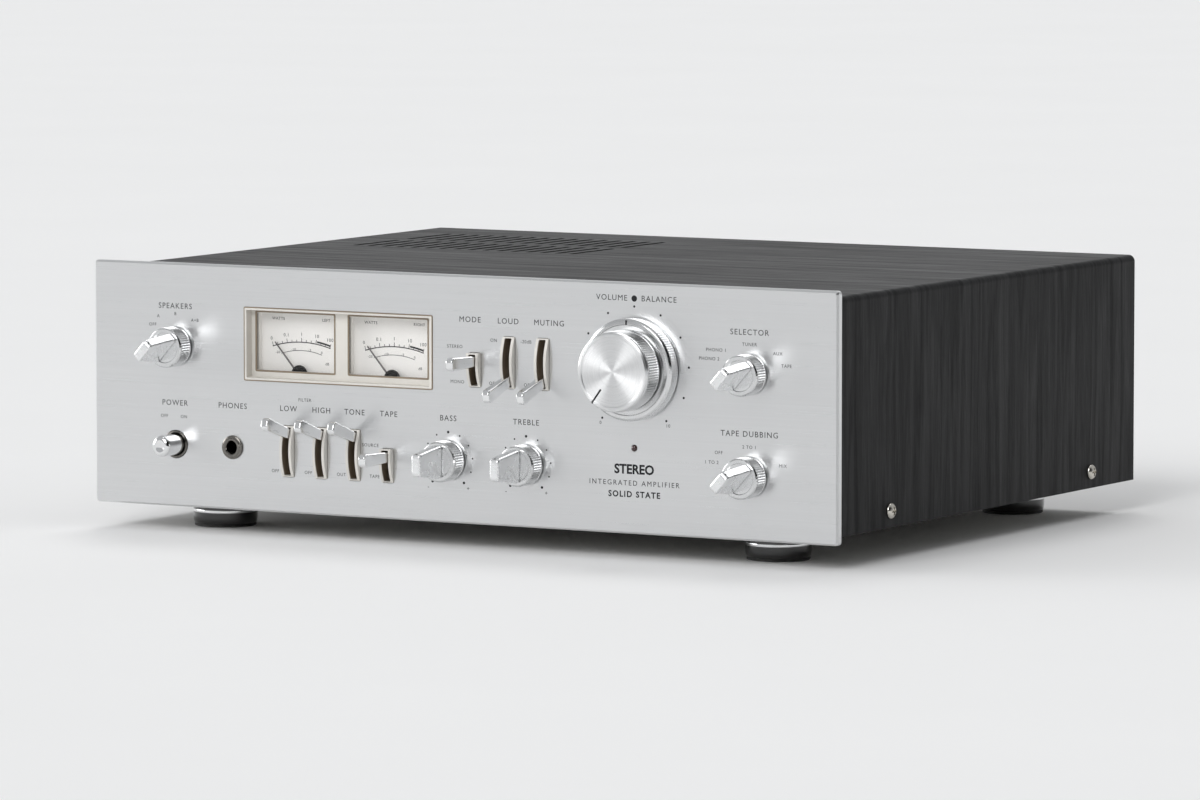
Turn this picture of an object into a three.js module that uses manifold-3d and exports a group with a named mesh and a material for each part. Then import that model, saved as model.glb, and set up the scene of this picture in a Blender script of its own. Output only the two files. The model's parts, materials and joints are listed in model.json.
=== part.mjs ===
// Integrated stereo amplifier: silver front panel with two needle meters, seven lever switches,
// a volume knob inside a balance ring, five small knobs, a power button and a phones socket,
// in a black wrap-round case with its transformer, boards and terminals.
//
// Millimetres, +Z up, front panel facing -Y. The origin is the middle of the footprint, at the
// surface that the feet stand on.
import * as THREE from 'three';
import { mergeVertices } from 'three/addons/utils/BufferGeometryUtils.js';
import Module from 'manifold-3d';

const wasm = await Module();
wasm.setup();

// ---------------------------------------------------------------- driving dimensions

const GAP = 0.3;                 // air between pieces that touch on the real amplifier
const PANEL_WIDTH = 440;
const PANEL_HEIGHT = 127;
const PANEL_THICK = 5;
const PANEL_CHAMFER = 1;
const PANEL_CORNER = 1.6;
const FOOT_HEIGHT = 13;          // from the floor to the panel's lower edge
const CASE_DEPTH = 342;          // from the panel's face to the case's back edge
const CASE_INSET = 3;            // the case's sides stand inside the panel's ends
const CASE_DROP = 3.4;           // the case's top is below the panel's top edge
const CASE_LIFT = 3.3;           // the case's lower edge is above the panel's lower edge
const SHEET = 1.2;               // steel of the cover and the rear panel
const BEND_RADIUS = 3.5;
const TRAY_SHEET = 1.5;
const TRAY_FLANGE = 15;
const SUBPANEL_FRONT = 8;        // front face of the steel plate behind the front panel
const SUBPANEL_THICK = 1.5;
const REAR_RECESS = 12;          // the rear panel is set in from the case's back edge
const KNOB_REACH = 32.5;         // the small knobs' grips are the foremost points

// Controls on the front: X and Z from the centre of the front panel.
const UPPER_ROW = 20;
const LOWER_ROW = -31.5;
const METER_OPENING = { x: -71, z: 23.25, width: 114, height: 38.5 };
const METER_XS = { meter_left: -99.5, meter_right: -43.5 };
const METER_WINDOW = { width: 47, height: 30, z: 24.5 };
const METER_RECESS = 5;
const VOLUME = { x: 104, z: UPPER_ROW };
const POWER = { x: -170, z: -31 };
const PHONES = { x: -135, z: -31 };
const LAMP = { x: 104, z: -20 };
const LEVER_SWING = 18;          // degrees each way from straight out

// The small knobs. Turn is the angle of the grip from upright, clockwise, in degrees.
const SMALL_KNOBS = [
  { name: 'speakers', x: -170, z: UPPER_ROW, turn: 42, wafers: 2 },
  { name: 'bass', x: -5, z: LOWER_ROW, turn: 0, wafers: 0 },
  { name: 'treble', x: 41, z: LOWER_ROW, turn: 0, wafers: 0 },
  { name: 'selector', x: 170, z: UPPER_ROW, turn: 42, wafers: 3 },
  { name: 'dubbing', x: 170, z: LOWER_ROW, turn: 42, wafers: 2 },
];

// The lever switches. Rest is the lever's angle in degrees, and positive points it down.
const LEVERS = [
  { name: 'mode', x: 11, z: UPPER_ROW, short: true, rest: 0 },
  { name: 'loudness', x: 31, z: UPPER_ROW, short: false, rest: LEVER_SWING },
  { name: 'muting', x: 51, z: UPPER_ROW, short: false, rest: LEVER_SWING },
  { name: 'low_filter', x: -101, z: LOWER_ROW, short: false, rest: -LEVER_SWING },
  { name: 'high_filter', x: -81, z: LOWER_ROW, short: false, rest: -LEVER_SWING },
  { name: 'tone', x: -61, z: LOWER_ROW, short: false, rest: -LEVER_SWING },
  { name: 'monitor', x: -41, z: LOWER_ROW, short: true, rest: 0 },
];

// Worked out from the dimensions above.
const PANEL_MIDDLE_Z = FOOT_HEIGHT + PANEL_HEIGHT / 2;
const PANEL_FACE_Y = -(CASE_DEPTH - KNOB_REACH) / 2;
const CASE_HALF = PANEL_WIDTH / 2 - CASE_INSET;
const CASE_TOP = FOOT_HEIGHT + PANEL_HEIGHT - CASE_DROP;
const CASE_BOTTOM = FOOT_HEIGHT + CASE_LIFT;
const TRAY_TOP = CASE_BOTTOM + TRAY_SHEET;
const REAR_Y = CASE_DEPTH - REAR_RECESS;
const REAR_FACE = REAR_Y + SHEET;
const SUBPANEL_BACK = SUBPANEL_FRONT + SUBPANEL_THICK;

// ---------------------------------------------------------------- materials

const finish = (color, roughness, metalness) =>
  new THREE.MeshStandardMaterial({ color, roughness, metalness });

const brushedAluminium = finish(0xcdcfd0, 0.32, 0.9);
const spunAluminium = finish(0xdcdedf, 0.22, 0.95);
const chrome = finish(0xd8dadc, 0.08, 1);
const champagnePlastic = finish(0xc8beaf, 0.5, 0);
const clearPlastic = finish(0xf4f6f6, 0.05, 0);
clearPlastic.transparent = true;
clearPlastic.opacity = 0.2;
const creamDial = finish(0xf0ebe6, 0.7, 0);
const blackPlastic = finish(0x141414, 0.45, 0);
const blackVinyl = finish(0x26262a, 0.5, 0);
const steel = finish(0xa9abad, 0.4, 0.9);
const brownBoard = finish(0x7a5a32, 0.7, 0);
const blackAluminium = finish(0x1c1c1e, 0.5, 0.6);
const darkRed = finish(0x3a0d0c, 0.25, 0);
const brass = finish(0xc79a4a, 0.25, 1);
const coreIron = finish(0x2b2b30, 0.6, 0.4);
const capacitorSleeve = finish(0x24324f, 0.35, 0);

// ---------------------------------------------------------------- solids

// A closed geometry as a solid, whichever way its triangles were wound.
function solid(geometry) {
  geometry.deleteAttribute('normal');
  geometry.deleteAttribute('uv');
  const merged = mergeVertices(geometry, 1e-4);
  const places = merged.attributes.position;
  const corners = merged.index.array;
  const kept = [];
  const [a, b, c] = [new THREE.Vector3(), new THREE.Vector3(), new THREE.Vector3()];
  let volume = 0;
  for (let i = 0; i < corners.length; i += 3) {
    const [p, q, r] = [corners[i], corners[i + 1], corners[i + 2]];
    if (p === q || q === r || r === p) continue;
    kept.push([p, q, r]);
    a.fromBufferAttribute(places, p);
    b.fromBufferAttribute(places, q);
    c.fromBufferAttribute(places, r);
    volume += a.dot(b.cross(c));
  }
  const triangles = kept.flatMap(([p, q, r]) => (volume > 0 ? [p, q, r] : [p, r, q]));
  const mesh = new wasm.Mesh({
    numProp: 3,
    vertProperties: new Float32Array(places.array),
    triVerts: new Uint32Array(triangles),
  });
  return new wasm.Manifold(mesh);
}

function geometryOf(manifold) {
  const mesh = manifold.getMesh();
  const geometry = new THREE.BufferGeometry();
  geometry.setAttribute('position', new THREE.BufferAttribute(mesh.vertProperties, 3));
  geometry.setIndex(new THREE.BufferAttribute(mesh.triVerts, 1));
  geometry.computeVertexNormals();
  return geometry;
}

const join = (pieces) => pieces.reduce((whole, piece) => whole.add(piece));
const cut = (whole, cutters) => cutters.reduce((rest, cutter) => rest.subtract(cutter), whole);

function box(x0, x1, y0, y1, z0, z1) {
  const geometry = new THREE.BoxGeometry(x1 - x0, y1 - y0, z1 - z0);
  geometry.translate((x0 + x1) / 2, (y0 + y1) / 2, (z0 + z1) / 2);
  return solid(geometry);
}

// An arc in the outline is made of twice as many straight steps as fineness says.
function extrude(shape, depth, bevel, fineness) {
  return new THREE.ExtrudeGeometry(shape, {
    depth: depth - 2 * bevel,
    bevelEnabled: bevel > 0,
    bevelThickness: bevel,
    bevelSize: bevel,
    bevelOffset: -bevel,
    bevelSegments: 1,
    curveSegments: fineness,
    steps: 1,
  });
}

// An outline drawn in X and Z, as a plate from y0 back to y1.
function plate(shape, y0, y1, bevel = 0, fineness = 1) {
  const geometry = extrude(shape, y1 - y0, bevel, fineness);
  geometry.rotateX(Math.PI / 2);
  geometry.translate(0, y1 - bevel, 0);
  return solid(geometry);
}

// An outline drawn in Y and Z, as a prism of the given width, centred on x.
function prism(shape, x, width, fineness = 1) {
  const geometry = extrude(shape, width, 0, fineness);
  const [alongX, alongY, alongZ] = [
    new THREE.Vector3(1, 0, 0), new THREE.Vector3(0, 1, 0), new THREE.Vector3(0, 0, 1)];
  geometry.applyMatrix4(new THREE.Matrix4().makeBasis(alongY, alongZ, alongX));
  geometry.translate(x - width / 2, 0, 0);
  return solid(geometry);
}

// A profile of [radius, distance] turned about the Y axis.
function turned(profile, sides = 24) {
  const points = profile.map(([radius, along]) => new THREE.Vector2(radius, along));
  return solid(new THREE.LatheGeometry(points, sides));
}

// The same about the Z axis.
function turnedUpright(profile, sides = 18) {
  const points = profile.map(([radius, along]) => new THREE.Vector2(radius, along));
  const geometry = new THREE.LatheGeometry(points, sides);
  geometry.rotateX(Math.PI / 2);
  return solid(geometry);
}

// A round bar along Y from y0 to y1.
function bar(x, z, radius, y0, y1, sides = 24) {
  const geometry = new THREE.CylinderGeometry(radius, radius, y1 - y0, sides);
  geometry.translate(x, (y0 + y1) / 2, z);
  return solid(geometry);
}

function roundedRectangle(x, z, width, height, radius) {
  const [left, right] = [x - width / 2, x + width / 2];
  const [low, high] = [z - height / 2, z + height / 2];
  const quarter = Math.PI / 2;
  const shape = new THREE.Shape();
  shape.moveTo(left + radius, low);
  shape.lineTo(right - radius, low);
  shape.absarc(right - radius, low + radius, radius, -quarter, 0, false);
  shape.lineTo(right, high - radius);
  shape.absarc(right - radius, high - radius, radius, 0, quarter, false);
  shape.lineTo(left + radius, high);
  shape.absarc(left + radius, high - radius, radius, quarter, 2 * quarter, false);
  shape.lineTo(left, low + radius);
  shape.absarc(left + radius, low + radius, radius, 2 * quarter, 3 * quarter, false);
  return shape;
}

function outline(points) {
  return new THREE.Shape(points.map(([u, v]) => new THREE.Vector2(u, v)));
}

function disc(u, v, radius) {
  const shape = new THREE.Shape();
  shape.absarc(u, v, radius, 0, 2 * Math.PI, false);
  return shape;
}

// ---------------------------------------------------------------- the tree

const amplifier = new THREE.Group();
const front = new THREE.Group();       // Y from the panel's face, X and Z from its centre
front.position.set(0, PANEL_FACE_Y, PANEL_MIDDLE_Z);
const body = new THREE.Group();        // Y from the panel's face, Z from the floor
body.position.set(0, PANEL_FACE_Y, 0);
amplifier.add(front, body);

function add(parent, name, shape, material) {
  const mesh = new THREE.Mesh(geometryOf(shape), material);
  mesh.name = name;
  parent.add(mesh);
  return mesh;
}

// ---------------------------------------------------------------- levers

const PIVOT_Y = 26.5;            // the levers' pivot is this far behind the panel's face
const ARC_RADIUS = 30;           // the bezels' ridges are arcs about the pivot
const SLOT_HALF = 13.5;
const SHORT_SLOT_TOP = 4.5;
const SLOT_WIDTH = 7.6;
const RIDGE_WIDTH = 7;
const SLIT_WIDTH = 4;
const SLIT_MARGIN = 1;           // ridge left at each end of the slit
const SHANK = { width: 3.4, half: 2.5 };
const HANDLE = { start: 31.2, end: 52.7, width: 4.2, rootHalf: 2.8, tipHalf: 3.4, corner: 1.6 };
const LEVER_HUB = 4;
const LEVER_PIN = { radius: 1.4, length: 7.6 };
const SWITCH = { half: 6, height: 15, back: 44, swingBack: 38, swingHalf: 2.1, board: 1.6 };

const slotTop = (lever) => (lever.short ? SHORT_SLOT_TOP : SLOT_HALF);

function leverSlot(lever) {
  const height = SLOT_HALF + slotTop(lever);
  const middle = lever.z + (slotTop(lever) - SLOT_HALF) / 2;
  const shape = roundedRectangle(lever.x, middle, SLOT_WIDTH, height, 1);
  return plate(shape, -1, PANEL_THICK + 1);
}

// One D-shaped ridge, flush at the slot's ends and proud in the middle.
function ridge(lever) {
  const low = -SLOT_HALF + GAP;
  const high = slotTop(lever) - GAP;
  const back = PANEL_THICK + 1;
  const shape = new THREE.Shape();
  shape.moveTo(back, high);
  const from = Math.PI - Math.asin(high / ARC_RADIUS);
  const to = Math.PI - Math.asin(low / ARC_RADIUS);
  shape.absarc(PIVOT_Y, 0, ARC_RADIUS, from, to, false);
  shape.lineTo(back, low);
  return prism(shape, lever.x, RIDGE_WIDTH, 4).translate(0, 0, lever.z);
}

function slit(lever) {
  const low = lever.z - SLOT_HALF + SLIT_MARGIN;
  const high = lever.z + slotTop(lever) - SLIT_MARGIN;
  const half = SLIT_WIDTH / 2;
  return box(lever.x - half, lever.x + half, -10, 12, low, high);
}

function leverBezel(levers) {
  const xs = levers.map((lever) => lever.x);
  const middle = (Math.min(...xs) + Math.max(...xs)) / 2;
  const width = Math.max(...xs) - Math.min(...xs) + 18;
  const backing = roundedRectangle(middle, levers[0].z, width, 2 * SLOT_HALF + 6, 2);
  const strip = plate(backing, PANEL_THICK + GAP, SUBPANEL_FRONT - GAP);
  return cut(join([strip, ...levers.map(ridge)]), levers.map(slit));
}

// A chromed lever about its pivot, pointing straight out of the panel.
function lever() {
  const { start, end, width, rootHalf, tipHalf, corner } = HANDLE;
  const shankEnd = -start - 1;
  const shank = outline([
    [0, -SHANK.half], [0, SHANK.half], [shankEnd, SHANK.half], [shankEnd, -SHANK.half]]);
  const handle = outline([
    [-start, -rootHalf], [-start, rootHalf], [corner - end, tipHalf], [-end, tipHalf - corner],
    [-end, corner - tipHalf], [corner - end, -tipHalf]]);
  return join([
    prism(shank, 0, SHANK.width), prism(handle, 0, width),
    prism(disc(0, 0, LEVER_HUB), 0, SHANK.width, 6),
    prism(disc(0, 0, LEVER_PIN.radius), 0, LEVER_PIN.length, 4)]);
}

// The switch housings of one row, on their shared board.
function switchBank(levers) {
  const xs = levers.map((each) => each.x);
  const z = levers[0].z;
  const nearest = SUBPANEL_BACK + GAP;
  const { half, height, back, swingBack, swingHalf, board: sheet } = SWITCH;
  const swingHeight = height - 1.5;
  const housings = levers.map(({ x }) => {
    const shell = box(x - half, x + half, nearest, back, z - height, z + height);
    const swing = box(x - swingHalf, x + swingHalf, nearest - 1, swingBack,
      z - swingHeight, z + swingHeight);
    const bearing = disc(PIVOT_Y, z, LEVER_PIN.radius + GAP);
    return cut(shell, [swing, prism(bearing, x, LEVER_PIN.length + 0.8, 4)]);
  });
  const left = Math.min(...xs) - half - 3;
  const right = Math.max(...xs) + half + 3;
  const overlap = 0.2;
  return join([...housings,
    box(left, right, back - overlap, back + sheet, z - height - 3, z + height + 3)]);
}

const leverRows = {
  upper: LEVERS.filter((each) => each.z === UPPER_ROW),
  lower: LEVERS.filter((each) => each.z === LOWER_ROW),
};
for (const [row, levers] of Object.entries(leverRows)) {
  add(front, `lever_bezel_${row}`, leverBezel(levers), champagnePlastic);
  add(front, `switch_bank_${row}`, switchBank(levers), blackPlastic);
}
for (const each of LEVERS) {
  const mesh = add(front, `lever_${each.name}`, lever(), chrome);
  mesh.position.set(each.x, PIVOT_Y, each.z);
  mesh.rotation.x = THREE.MathUtils.degToRad(each.rest);
}

// ---------------------------------------------------------------- meters

const FRAME_WALL = 1.5;
const FRAME_FACE = 1.6;          // thickness of the frame round the windows
const PANE = 1;
const PANE_FRONT = METER_RECESS + FRAME_FACE + GAP;
const METER_FRONT = PANE_FRONT + PANE + GAP;
const DIAL_DEPTH = 2.6;          // the dial behind the meter's front edge
const NEEDLE_FRONT = METER_FRONT + 1.1;
const NEEDLE_PIVOT_Z = 6.3;
const NEEDLE_LENGTH = 23.5;
const NEEDLE_TAIL = 3;
const NEEDLE_REST = -41;
const METER_WALL = 1.2;
const METER_DEPTH = 24;
const HUB_COVER = { radius: 4.6, z: 7.6, thick: 0.7 };   // over the needle's pivot

function meterFrame() {
  const { x, z, width, height } = METER_OPENING;
  const collar = roundedRectangle(x, z, width - 2 * GAP, height - 2 * GAP, 0.8);
  const inner = roundedRectangle(x, z, width - 2 * GAP - 2 * FRAME_WALL,
    height - 2 * GAP - 2 * FRAME_WALL, 0.4);
  const flange = roundedRectangle(x, z, width + 7, height + 7, 2);
  const windows = Object.values(METER_XS).map((middle) => plate(
    roundedRectangle(middle, METER_WINDOW.z, METER_WINDOW.width, METER_WINDOW.height, 0.6), 0, 12));
  const back = METER_RECESS + FRAME_FACE;
  const whole = join([plate(collar, 0, back), plate(flange, PANEL_THICK + GAP, back)]);
  return cut(whole, [plate(inner, -1, METER_RECESS), ...windows]);
}

function meter(x) {
  const { width, height, z } = METER_WINDOW;
  const [low, high] = [NEEDLE_PIVOT_Z - 5, z + height / 2 + 2.5];
  const half = width / 2 + 2;
  const inner = half - METER_WALL;
  const housing = box(x - half, x + half, METER_FRONT, METER_FRONT + METER_DEPTH, low, high);
  const well = box(x - inner, x + inner, METER_FRONT - 1, METER_FRONT + DIAL_DEPTH,
    low + 1.5, high - METER_WALL);
  const { radius, z: top, thick } = HUB_COVER;
  const cover = new THREE.Shape();
  cover.moveTo(x - radius, low);
  cover.lineTo(x + radius, low);
  cover.absarc(x, top, radius, 0, Math.PI, false);
  return join([cut(housing, [well]), plate(cover, METER_FRONT, METER_FRONT + thick, 0, 5)]);
}

function needle() {
  const blade = outline([
    [-0.5, 0], [-0.28, NEEDLE_LENGTH], [0.28, NEEDLE_LENGTH], [0.5, 0],
    [0.9, -NEEDLE_TAIL], [-0.9, -NEEDLE_TAIL]]);
  const [thick, hubRadius, hubThick] = [0.4, 1.8, 1.1];
  return join([plate(blade, 0, thick), bar(0, 0, hubRadius, 0, hubThick, 10)]);
}

add(front, 'meter_frame', meterFrame(), champagnePlastic);
add(front, 'meter_window', plate(
  roundedRectangle(METER_OPENING.x, METER_OPENING.z, METER_OPENING.width + 5,
    METER_OPENING.height + 5, 1.5), PANE_FRONT, PANE_FRONT + PANE), clearPlastic);
for (const [name, x] of Object.entries(METER_XS)) {
  add(front, name, meter(x), creamDial);
  const pointer = add(front, name.replace('meter', 'needle'), needle(), blackPlastic);
  pointer.position.set(x, NEEDLE_FRONT, NEEDLE_PIVOT_Z);
  pointer.rotation.y = THREE.MathUtils.degToRad(NEEDLE_REST);
}

// ---------------------------------------------------------------- knobs and their controls

const SHAFT_RADIUS = 3;
const SHAFT_BORE = 3.4;
const SMALL_RADIUS = 10.5;
const SMALL_SKIRT = 11;
const GRIP_THICK = 5.4;
const SMALL_GRIP = { rootHalf: 8.6, tipHalf: 5.6, corner: 1.5 };
const KNOB_LIFT = 0.8;           // gap under a knob
const SHAFT_BACK = 17;           // the small knobs' shafts end this far behind the panel's face
const BUSH_RADIUS = 4.6;         // threaded bushes that stick out through the subpanel
const BUSH_FRONT = 6.2;
const CONTROL_FRONT = SUBPANEL_BACK + GAP;

function smallKnob() {
  const edge = 0.7;
  const skirt = turned([
    [0, SHAFT_BACK], [SHAFT_RADIUS, SHAFT_BACK], [SHAFT_RADIUS, -KNOB_LIFT],
    [SMALL_RADIUS - 0.4, -KNOB_LIFT], [SMALL_RADIUS, -KNOB_LIFT - 0.5],
    [SMALL_RADIUS, edge - SMALL_SKIRT], [SMALL_RADIUS - edge, -SMALL_SKIRT], [0, -SMALL_SKIRT]]);
  const { rootHalf, tipHalf, corner } = SMALL_GRIP;
  const root = 0.5 - SMALL_SKIRT;
  const grip = outline([
    [root, -rootHalf], [root, rootHalf], [corner - KNOB_REACH, tipHalf],
    [-KNOB_REACH, tipHalf - corner], [-KNOB_REACH, corner - tipHalf],
    [corner - KNOB_REACH, -tipHalf]]);
  return join([skirt, prism(grip, 0, GRIP_THICK)]);
}

// The bored bush of a control, from its open end to where its housing starts.
const bush = () => [
  [0, SHAFT_BACK + 2 * GAP], [SHAFT_BORE, SHAFT_BACK + 2 * GAP], [SHAFT_BORE, BUSH_FRONT],
  [BUSH_RADIUS, BUSH_FRONT], [BUSH_RADIUS, CONTROL_FRONT]];

function potentiometer() {
  const [radius, back] = [12, 24];
  return turned([...bush(), [radius, CONTROL_FRONT], [radius, back], [0, back]], 12);
}

// A rotary switch: a mounting cup, then wafers spaced along a narrow core.
function rotarySwitch(wafers) {
  const [cup, cupBack, core, radius, thick] = [11, 19, 6, 15, 1.8];
  const [first, pitch] = [24, 9];
  const profile = [...bush(), [cup, CONTROL_FRONT], [cup, cupBack], [core, cupBack]];
  for (let i = 0; i < wafers; i += 1) {
    const start = first + i * pitch;
    profile.push([core, start], [radius, start], [radius, start + thick], [core, start + thick]);
  }
  const back = first + wafers * pitch;
  profile.push([core, back], [0, back]);
  return turned(profile, 12);
}

for (const knob of SMALL_KNOBS) {
  const mesh = add(front, `${knob.name}_knob`, smallKnob(), spunAluminium);
  mesh.position.set(knob.x, 0, knob.z);
  mesh.rotation.y = THREE.MathUtils.degToRad(knob.turn);
  const control = knob.wafers > 0 ? rotarySwitch(knob.wafers) : potentiometer();
  const kind = knob.wafers > 0 ? 'switch' : 'pot';
  add(front, `${knob.name}_${kind}`, control, steel).position.set(knob.x, 0, knob.z);
}

const VOLUME_RADIUS = 20.5;
const VOLUME_FACE = 23;          // the knob's face in front of the panel's face
const RING_RADIUS = 26;
const RING_FACE = 8.4;
const RING_TUBE = 5.2;           // the ring turns on a tube round the volume knob's shaft
const TUBE_BACK = 19;
const VOLUME_SHAFT_BACK = 26;
const VOLUME_POT = { radius: 15, back: 40, bush: 7.2 };

const volumeBack = -RING_FACE - 0.9;
const volumeKnob = turned([
  [0, VOLUME_SHAFT_BACK], [SHAFT_RADIUS, VOLUME_SHAFT_BACK], [SHAFT_RADIUS, volumeBack],
  [VOLUME_RADIUS - 0.8, volumeBack], [VOLUME_RADIUS, volumeBack - 0.8],
  [VOLUME_RADIUS, 1 - VOLUME_FACE], [VOLUME_RADIUS - 1, -VOLUME_FACE], [0, -VOLUME_FACE]], 32);
const balanceRing = turned([
  [SHAFT_BORE, TUBE_BACK], [SHAFT_BORE, -RING_FACE], [RING_RADIUS - 1, -RING_FACE],
  [RING_RADIUS, 1 - RING_FACE], [RING_RADIUS, -KNOB_LIFT - 0.5], [RING_RADIUS - 0.5, -KNOB_LIFT],
  [RING_TUBE, -KNOB_LIFT], [RING_TUBE, TUBE_BACK], [SHAFT_BORE, TUBE_BACK]], 32);
const volumePot = turned([
  [0, VOLUME_POT.back], [VOLUME_POT.radius, VOLUME_POT.back], [VOLUME_POT.radius, CONTROL_FRONT],
  [VOLUME_POT.bush, CONTROL_FRONT], [VOLUME_POT.bush, BUSH_FRONT],
  [RING_TUBE + GAP, BUSH_FRONT], [RING_TUBE + GAP, TUBE_BACK + 2 * GAP],
  [SHAFT_BORE, TUBE_BACK + 2 * GAP], [SHAFT_BORE, VOLUME_SHAFT_BACK + 2 * GAP],
  [0, VOLUME_SHAFT_BACK + 2 * GAP]], 14);
add(front, 'volume_knob', volumeKnob, spunAluminium).position.set(VOLUME.x, 0, VOLUME.z);
add(front, 'balance_ring', balanceRing, spunAluminium).position.set(VOLUME.x, 0, VOLUME.z);
add(front, 'volume_pot', volumePot, steel).position.set(VOLUME.x, 0, VOLUME.z);

// ---------------------------------------------------------------- power, phones and lamp

const BUTTON_RADIUS = 5.5;
const BUTTON_REACH = 15.5;
const BUTTON_STEM = { radius: 2, back: 24 };
const BEZEL = { radius: 7.2, bore: BUTTON_RADIUS + 0.4, front: -0.8, back: PANEL_THICK + 1.5 };
const PHONES_BORE = 3.3;
const PHONES_BUSH = 4.8;
const PHONES_FLANGE = 6.2;
const LAMP_RADIUS = 1.6;

const powerBezel = turned([
  [BEZEL.bore, BEZEL.back], [BEZEL.bore, -0.2], [BEZEL.bore + 0.5, BEZEL.front],
  [BEZEL.radius - 0.4, BEZEL.front], [BEZEL.radius, -0.2], [BEZEL.radius, BEZEL.back],
  [BEZEL.bore, BEZEL.back]], 20);
const powerButton = turned([
  [0, BUTTON_STEM.back], [BUTTON_STEM.radius, BUTTON_STEM.back], [BUTTON_STEM.radius, 6],
  [BUTTON_RADIUS, 6], [BUTTON_RADIUS, 0.8 - BUTTON_REACH],
  [BUTTON_RADIUS - 0.8, -BUTTON_REACH], [0, -BUTTON_REACH]], 20);
const powerSwitch = cut(box(-9, 9, SUBPANEL_BACK + 4, 46, -11, 11),
  [bar(0, 0, BUTTON_STEM.radius + 0.4, 0, BUTTON_STEM.back + 6, 12)]);
add(front, 'power_bezel', powerBezel, blackAluminium).position.set(POWER.x, 0, POWER.z);
add(front, 'power_button', powerButton, chrome).position.set(POWER.x, 0, POWER.z);
add(front, 'power_switch', powerSwitch, blackPlastic).position.set(POWER.x, 0, POWER.z);

const phonesJack = cut(join([
  turned([
    [0, SUBPANEL_BACK + 1], [PHONES_BUSH, SUBPANEL_BACK + 1], [PHONES_BUSH, -GAP],
    [PHONES_FLANGE, -GAP], [PHONES_FLANGE, -1], [PHONES_FLANGE - 0.6, -1.8], [0, -1.8]], 20),
  box(-8, 8, CONTROL_FRONT, 38, -8, 8)]), [bar(0, 0, PHONES_BORE, -5, 34)]);
add(front, 'phones_jack', phonesJack, chrome).position.set(PHONES.x, 0, PHONES.z);

const powerLamp = turned([
  [0, 14], [LAMP_RADIUS, 14], [LAMP_RADIUS, 0], [LAMP_RADIUS - 0.5, -0.8], [0, -1.1]], 12);
add(front, 'power_lamp', powerLamp, darkRed).position.set(LAMP.x, 0, LAMP.z);

// ---------------------------------------------------------------- front panel and subpanel

function frontPanel() {
  const face = roundedRectangle(0, 0, PANEL_WIDTH, PANEL_HEIGHT, PANEL_CORNER);
  const { x, z, width, height } = METER_OPENING;
  const through = (at, radius, sides) => bar(at.x, at.z, radius, -2, PANEL_THICK + 2, sides);
  return cut(plate(face, 0, PANEL_THICK, PANEL_CHAMFER), [
    plate(roundedRectangle(x, z, width, height, 1), -1, PANEL_THICK + 1),
    ...LEVERS.map(leverSlot),
    ...SMALL_KNOBS.map((knob) => through(knob, SHAFT_RADIUS + 1, 12)),
    through(VOLUME, RING_TUBE + 0.9, 16),
    through(POWER, BEZEL.radius + GAP, 20),
    through(PHONES, PHONES_BUSH + GAP, 20),
    through(LAMP, LAMP_RADIUS + GAP, 10),
  ]);
}

function frontSubpanel() {
  const width = 2 * (CASE_HALF - SHEET - 3);
  const low = TRAY_TOP + GAP - PANEL_MIDDLE_Z;
  const high = CASE_TOP - SHEET - GAP - PANEL_MIDDLE_Z;
  const sheet = roundedRectangle(0, (low + high) / 2, width, high - low, 1);
  const meters = roundedRectangle(METER_OPENING.x - 0.5, 21.65, 108, 42, 1);
  const [before, behind] = [SUBPANEL_FRONT - 2, SUBPANEL_BACK + 2];
  const through = (at, radius) => bar(at.x, at.z, radius, before, behind, 10);
  const swing = ({ x, z }) => box(x - 3.5, x + 3.5, before, behind, z - 14, z + 14);
  const loose = 0.5;
  return cut(plate(sheet, SUBPANEL_FRONT, SUBPANEL_BACK), [
    plate(meters, before, behind),
    ...LEVERS.map(swing),
    ...SMALL_KNOBS.map((knob) => through(knob, BUSH_RADIUS + loose)),
    through(VOLUME, VOLUME_POT.bush + loose),
    through(POWER, BUTTON_RADIUS + 3 * loose),
    through(PHONES, PHONES_BUSH + loose),
    through(LAMP, LAMP_RADIUS + loose),
  ]);
}

add(front, 'front_panel', frontPanel(), brushedAluminium);
add(front, 'front_subpanel', frontSubpanel(), steel);

// ---------------------------------------------------------------- case, tray, rear and feet

const VENT = { x: -115, y: 250, width: 3.4, length: 46, pitch: 9, across: 16, rows: 2, bridge: 10 };
const SCREW = { ys: [62, 290], z: 25, hole: 2.2, shank: 1.8, head: 4, reach: 4.2, dome: 2.2 };
const FOOT = { x: 165, ys: [40, 302], radius: 17 };

function caseCover() {
  const bend = Math.PI / 2;
  const wall = (half, top, radius) => {
    const shape = new THREE.Shape();
    shape.moveTo(-half, CASE_BOTTOM);
    shape.lineTo(half, CASE_BOTTOM);
    shape.lineTo(half, top - radius);
    shape.absarc(half - radius, top - radius, radius, 0, bend, false);
    shape.lineTo(radius - half, top);
    shape.absarc(radius - half, top - radius, radius, bend, 2 * bend, false);
    return shape;
  };
  const outer = plate(wall(CASE_HALF, CASE_TOP, BEND_RADIUS), PANEL_THICK + GAP, CASE_DEPTH, 0, 2);
  const hollow = plate(wall(CASE_HALF - SHEET, CASE_TOP - SHEET, BEND_RADIUS - SHEET),
    0, CASE_DEPTH + 1, 0, 2);
  const inside = CASE_HALF - SHEET;
  const below = box(-inside, inside, 0, CASE_DEPTH + 1, 0, CASE_BOTTOM + 1);
  const vents = [];
  for (let row = 0; row < VENT.rows; row += 1) {
    const middle = VENT.y + (row - (VENT.rows - 1) / 2) * (VENT.length + VENT.bridge);
    for (let i = 0; i < VENT.across; i += 1) {
      const x = VENT.x + (i - (VENT.across - 1) / 2) * VENT.pitch;
      vents.push(box(x - VENT.width / 2, x + VENT.width / 2,
        middle - VENT.length / 2, middle + VENT.length / 2, CASE_TOP - 5, CASE_TOP + 5));
    }
  }
  return cut(outer, [hollow, below, ...vents, ...screwHoles()]);
}

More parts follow.
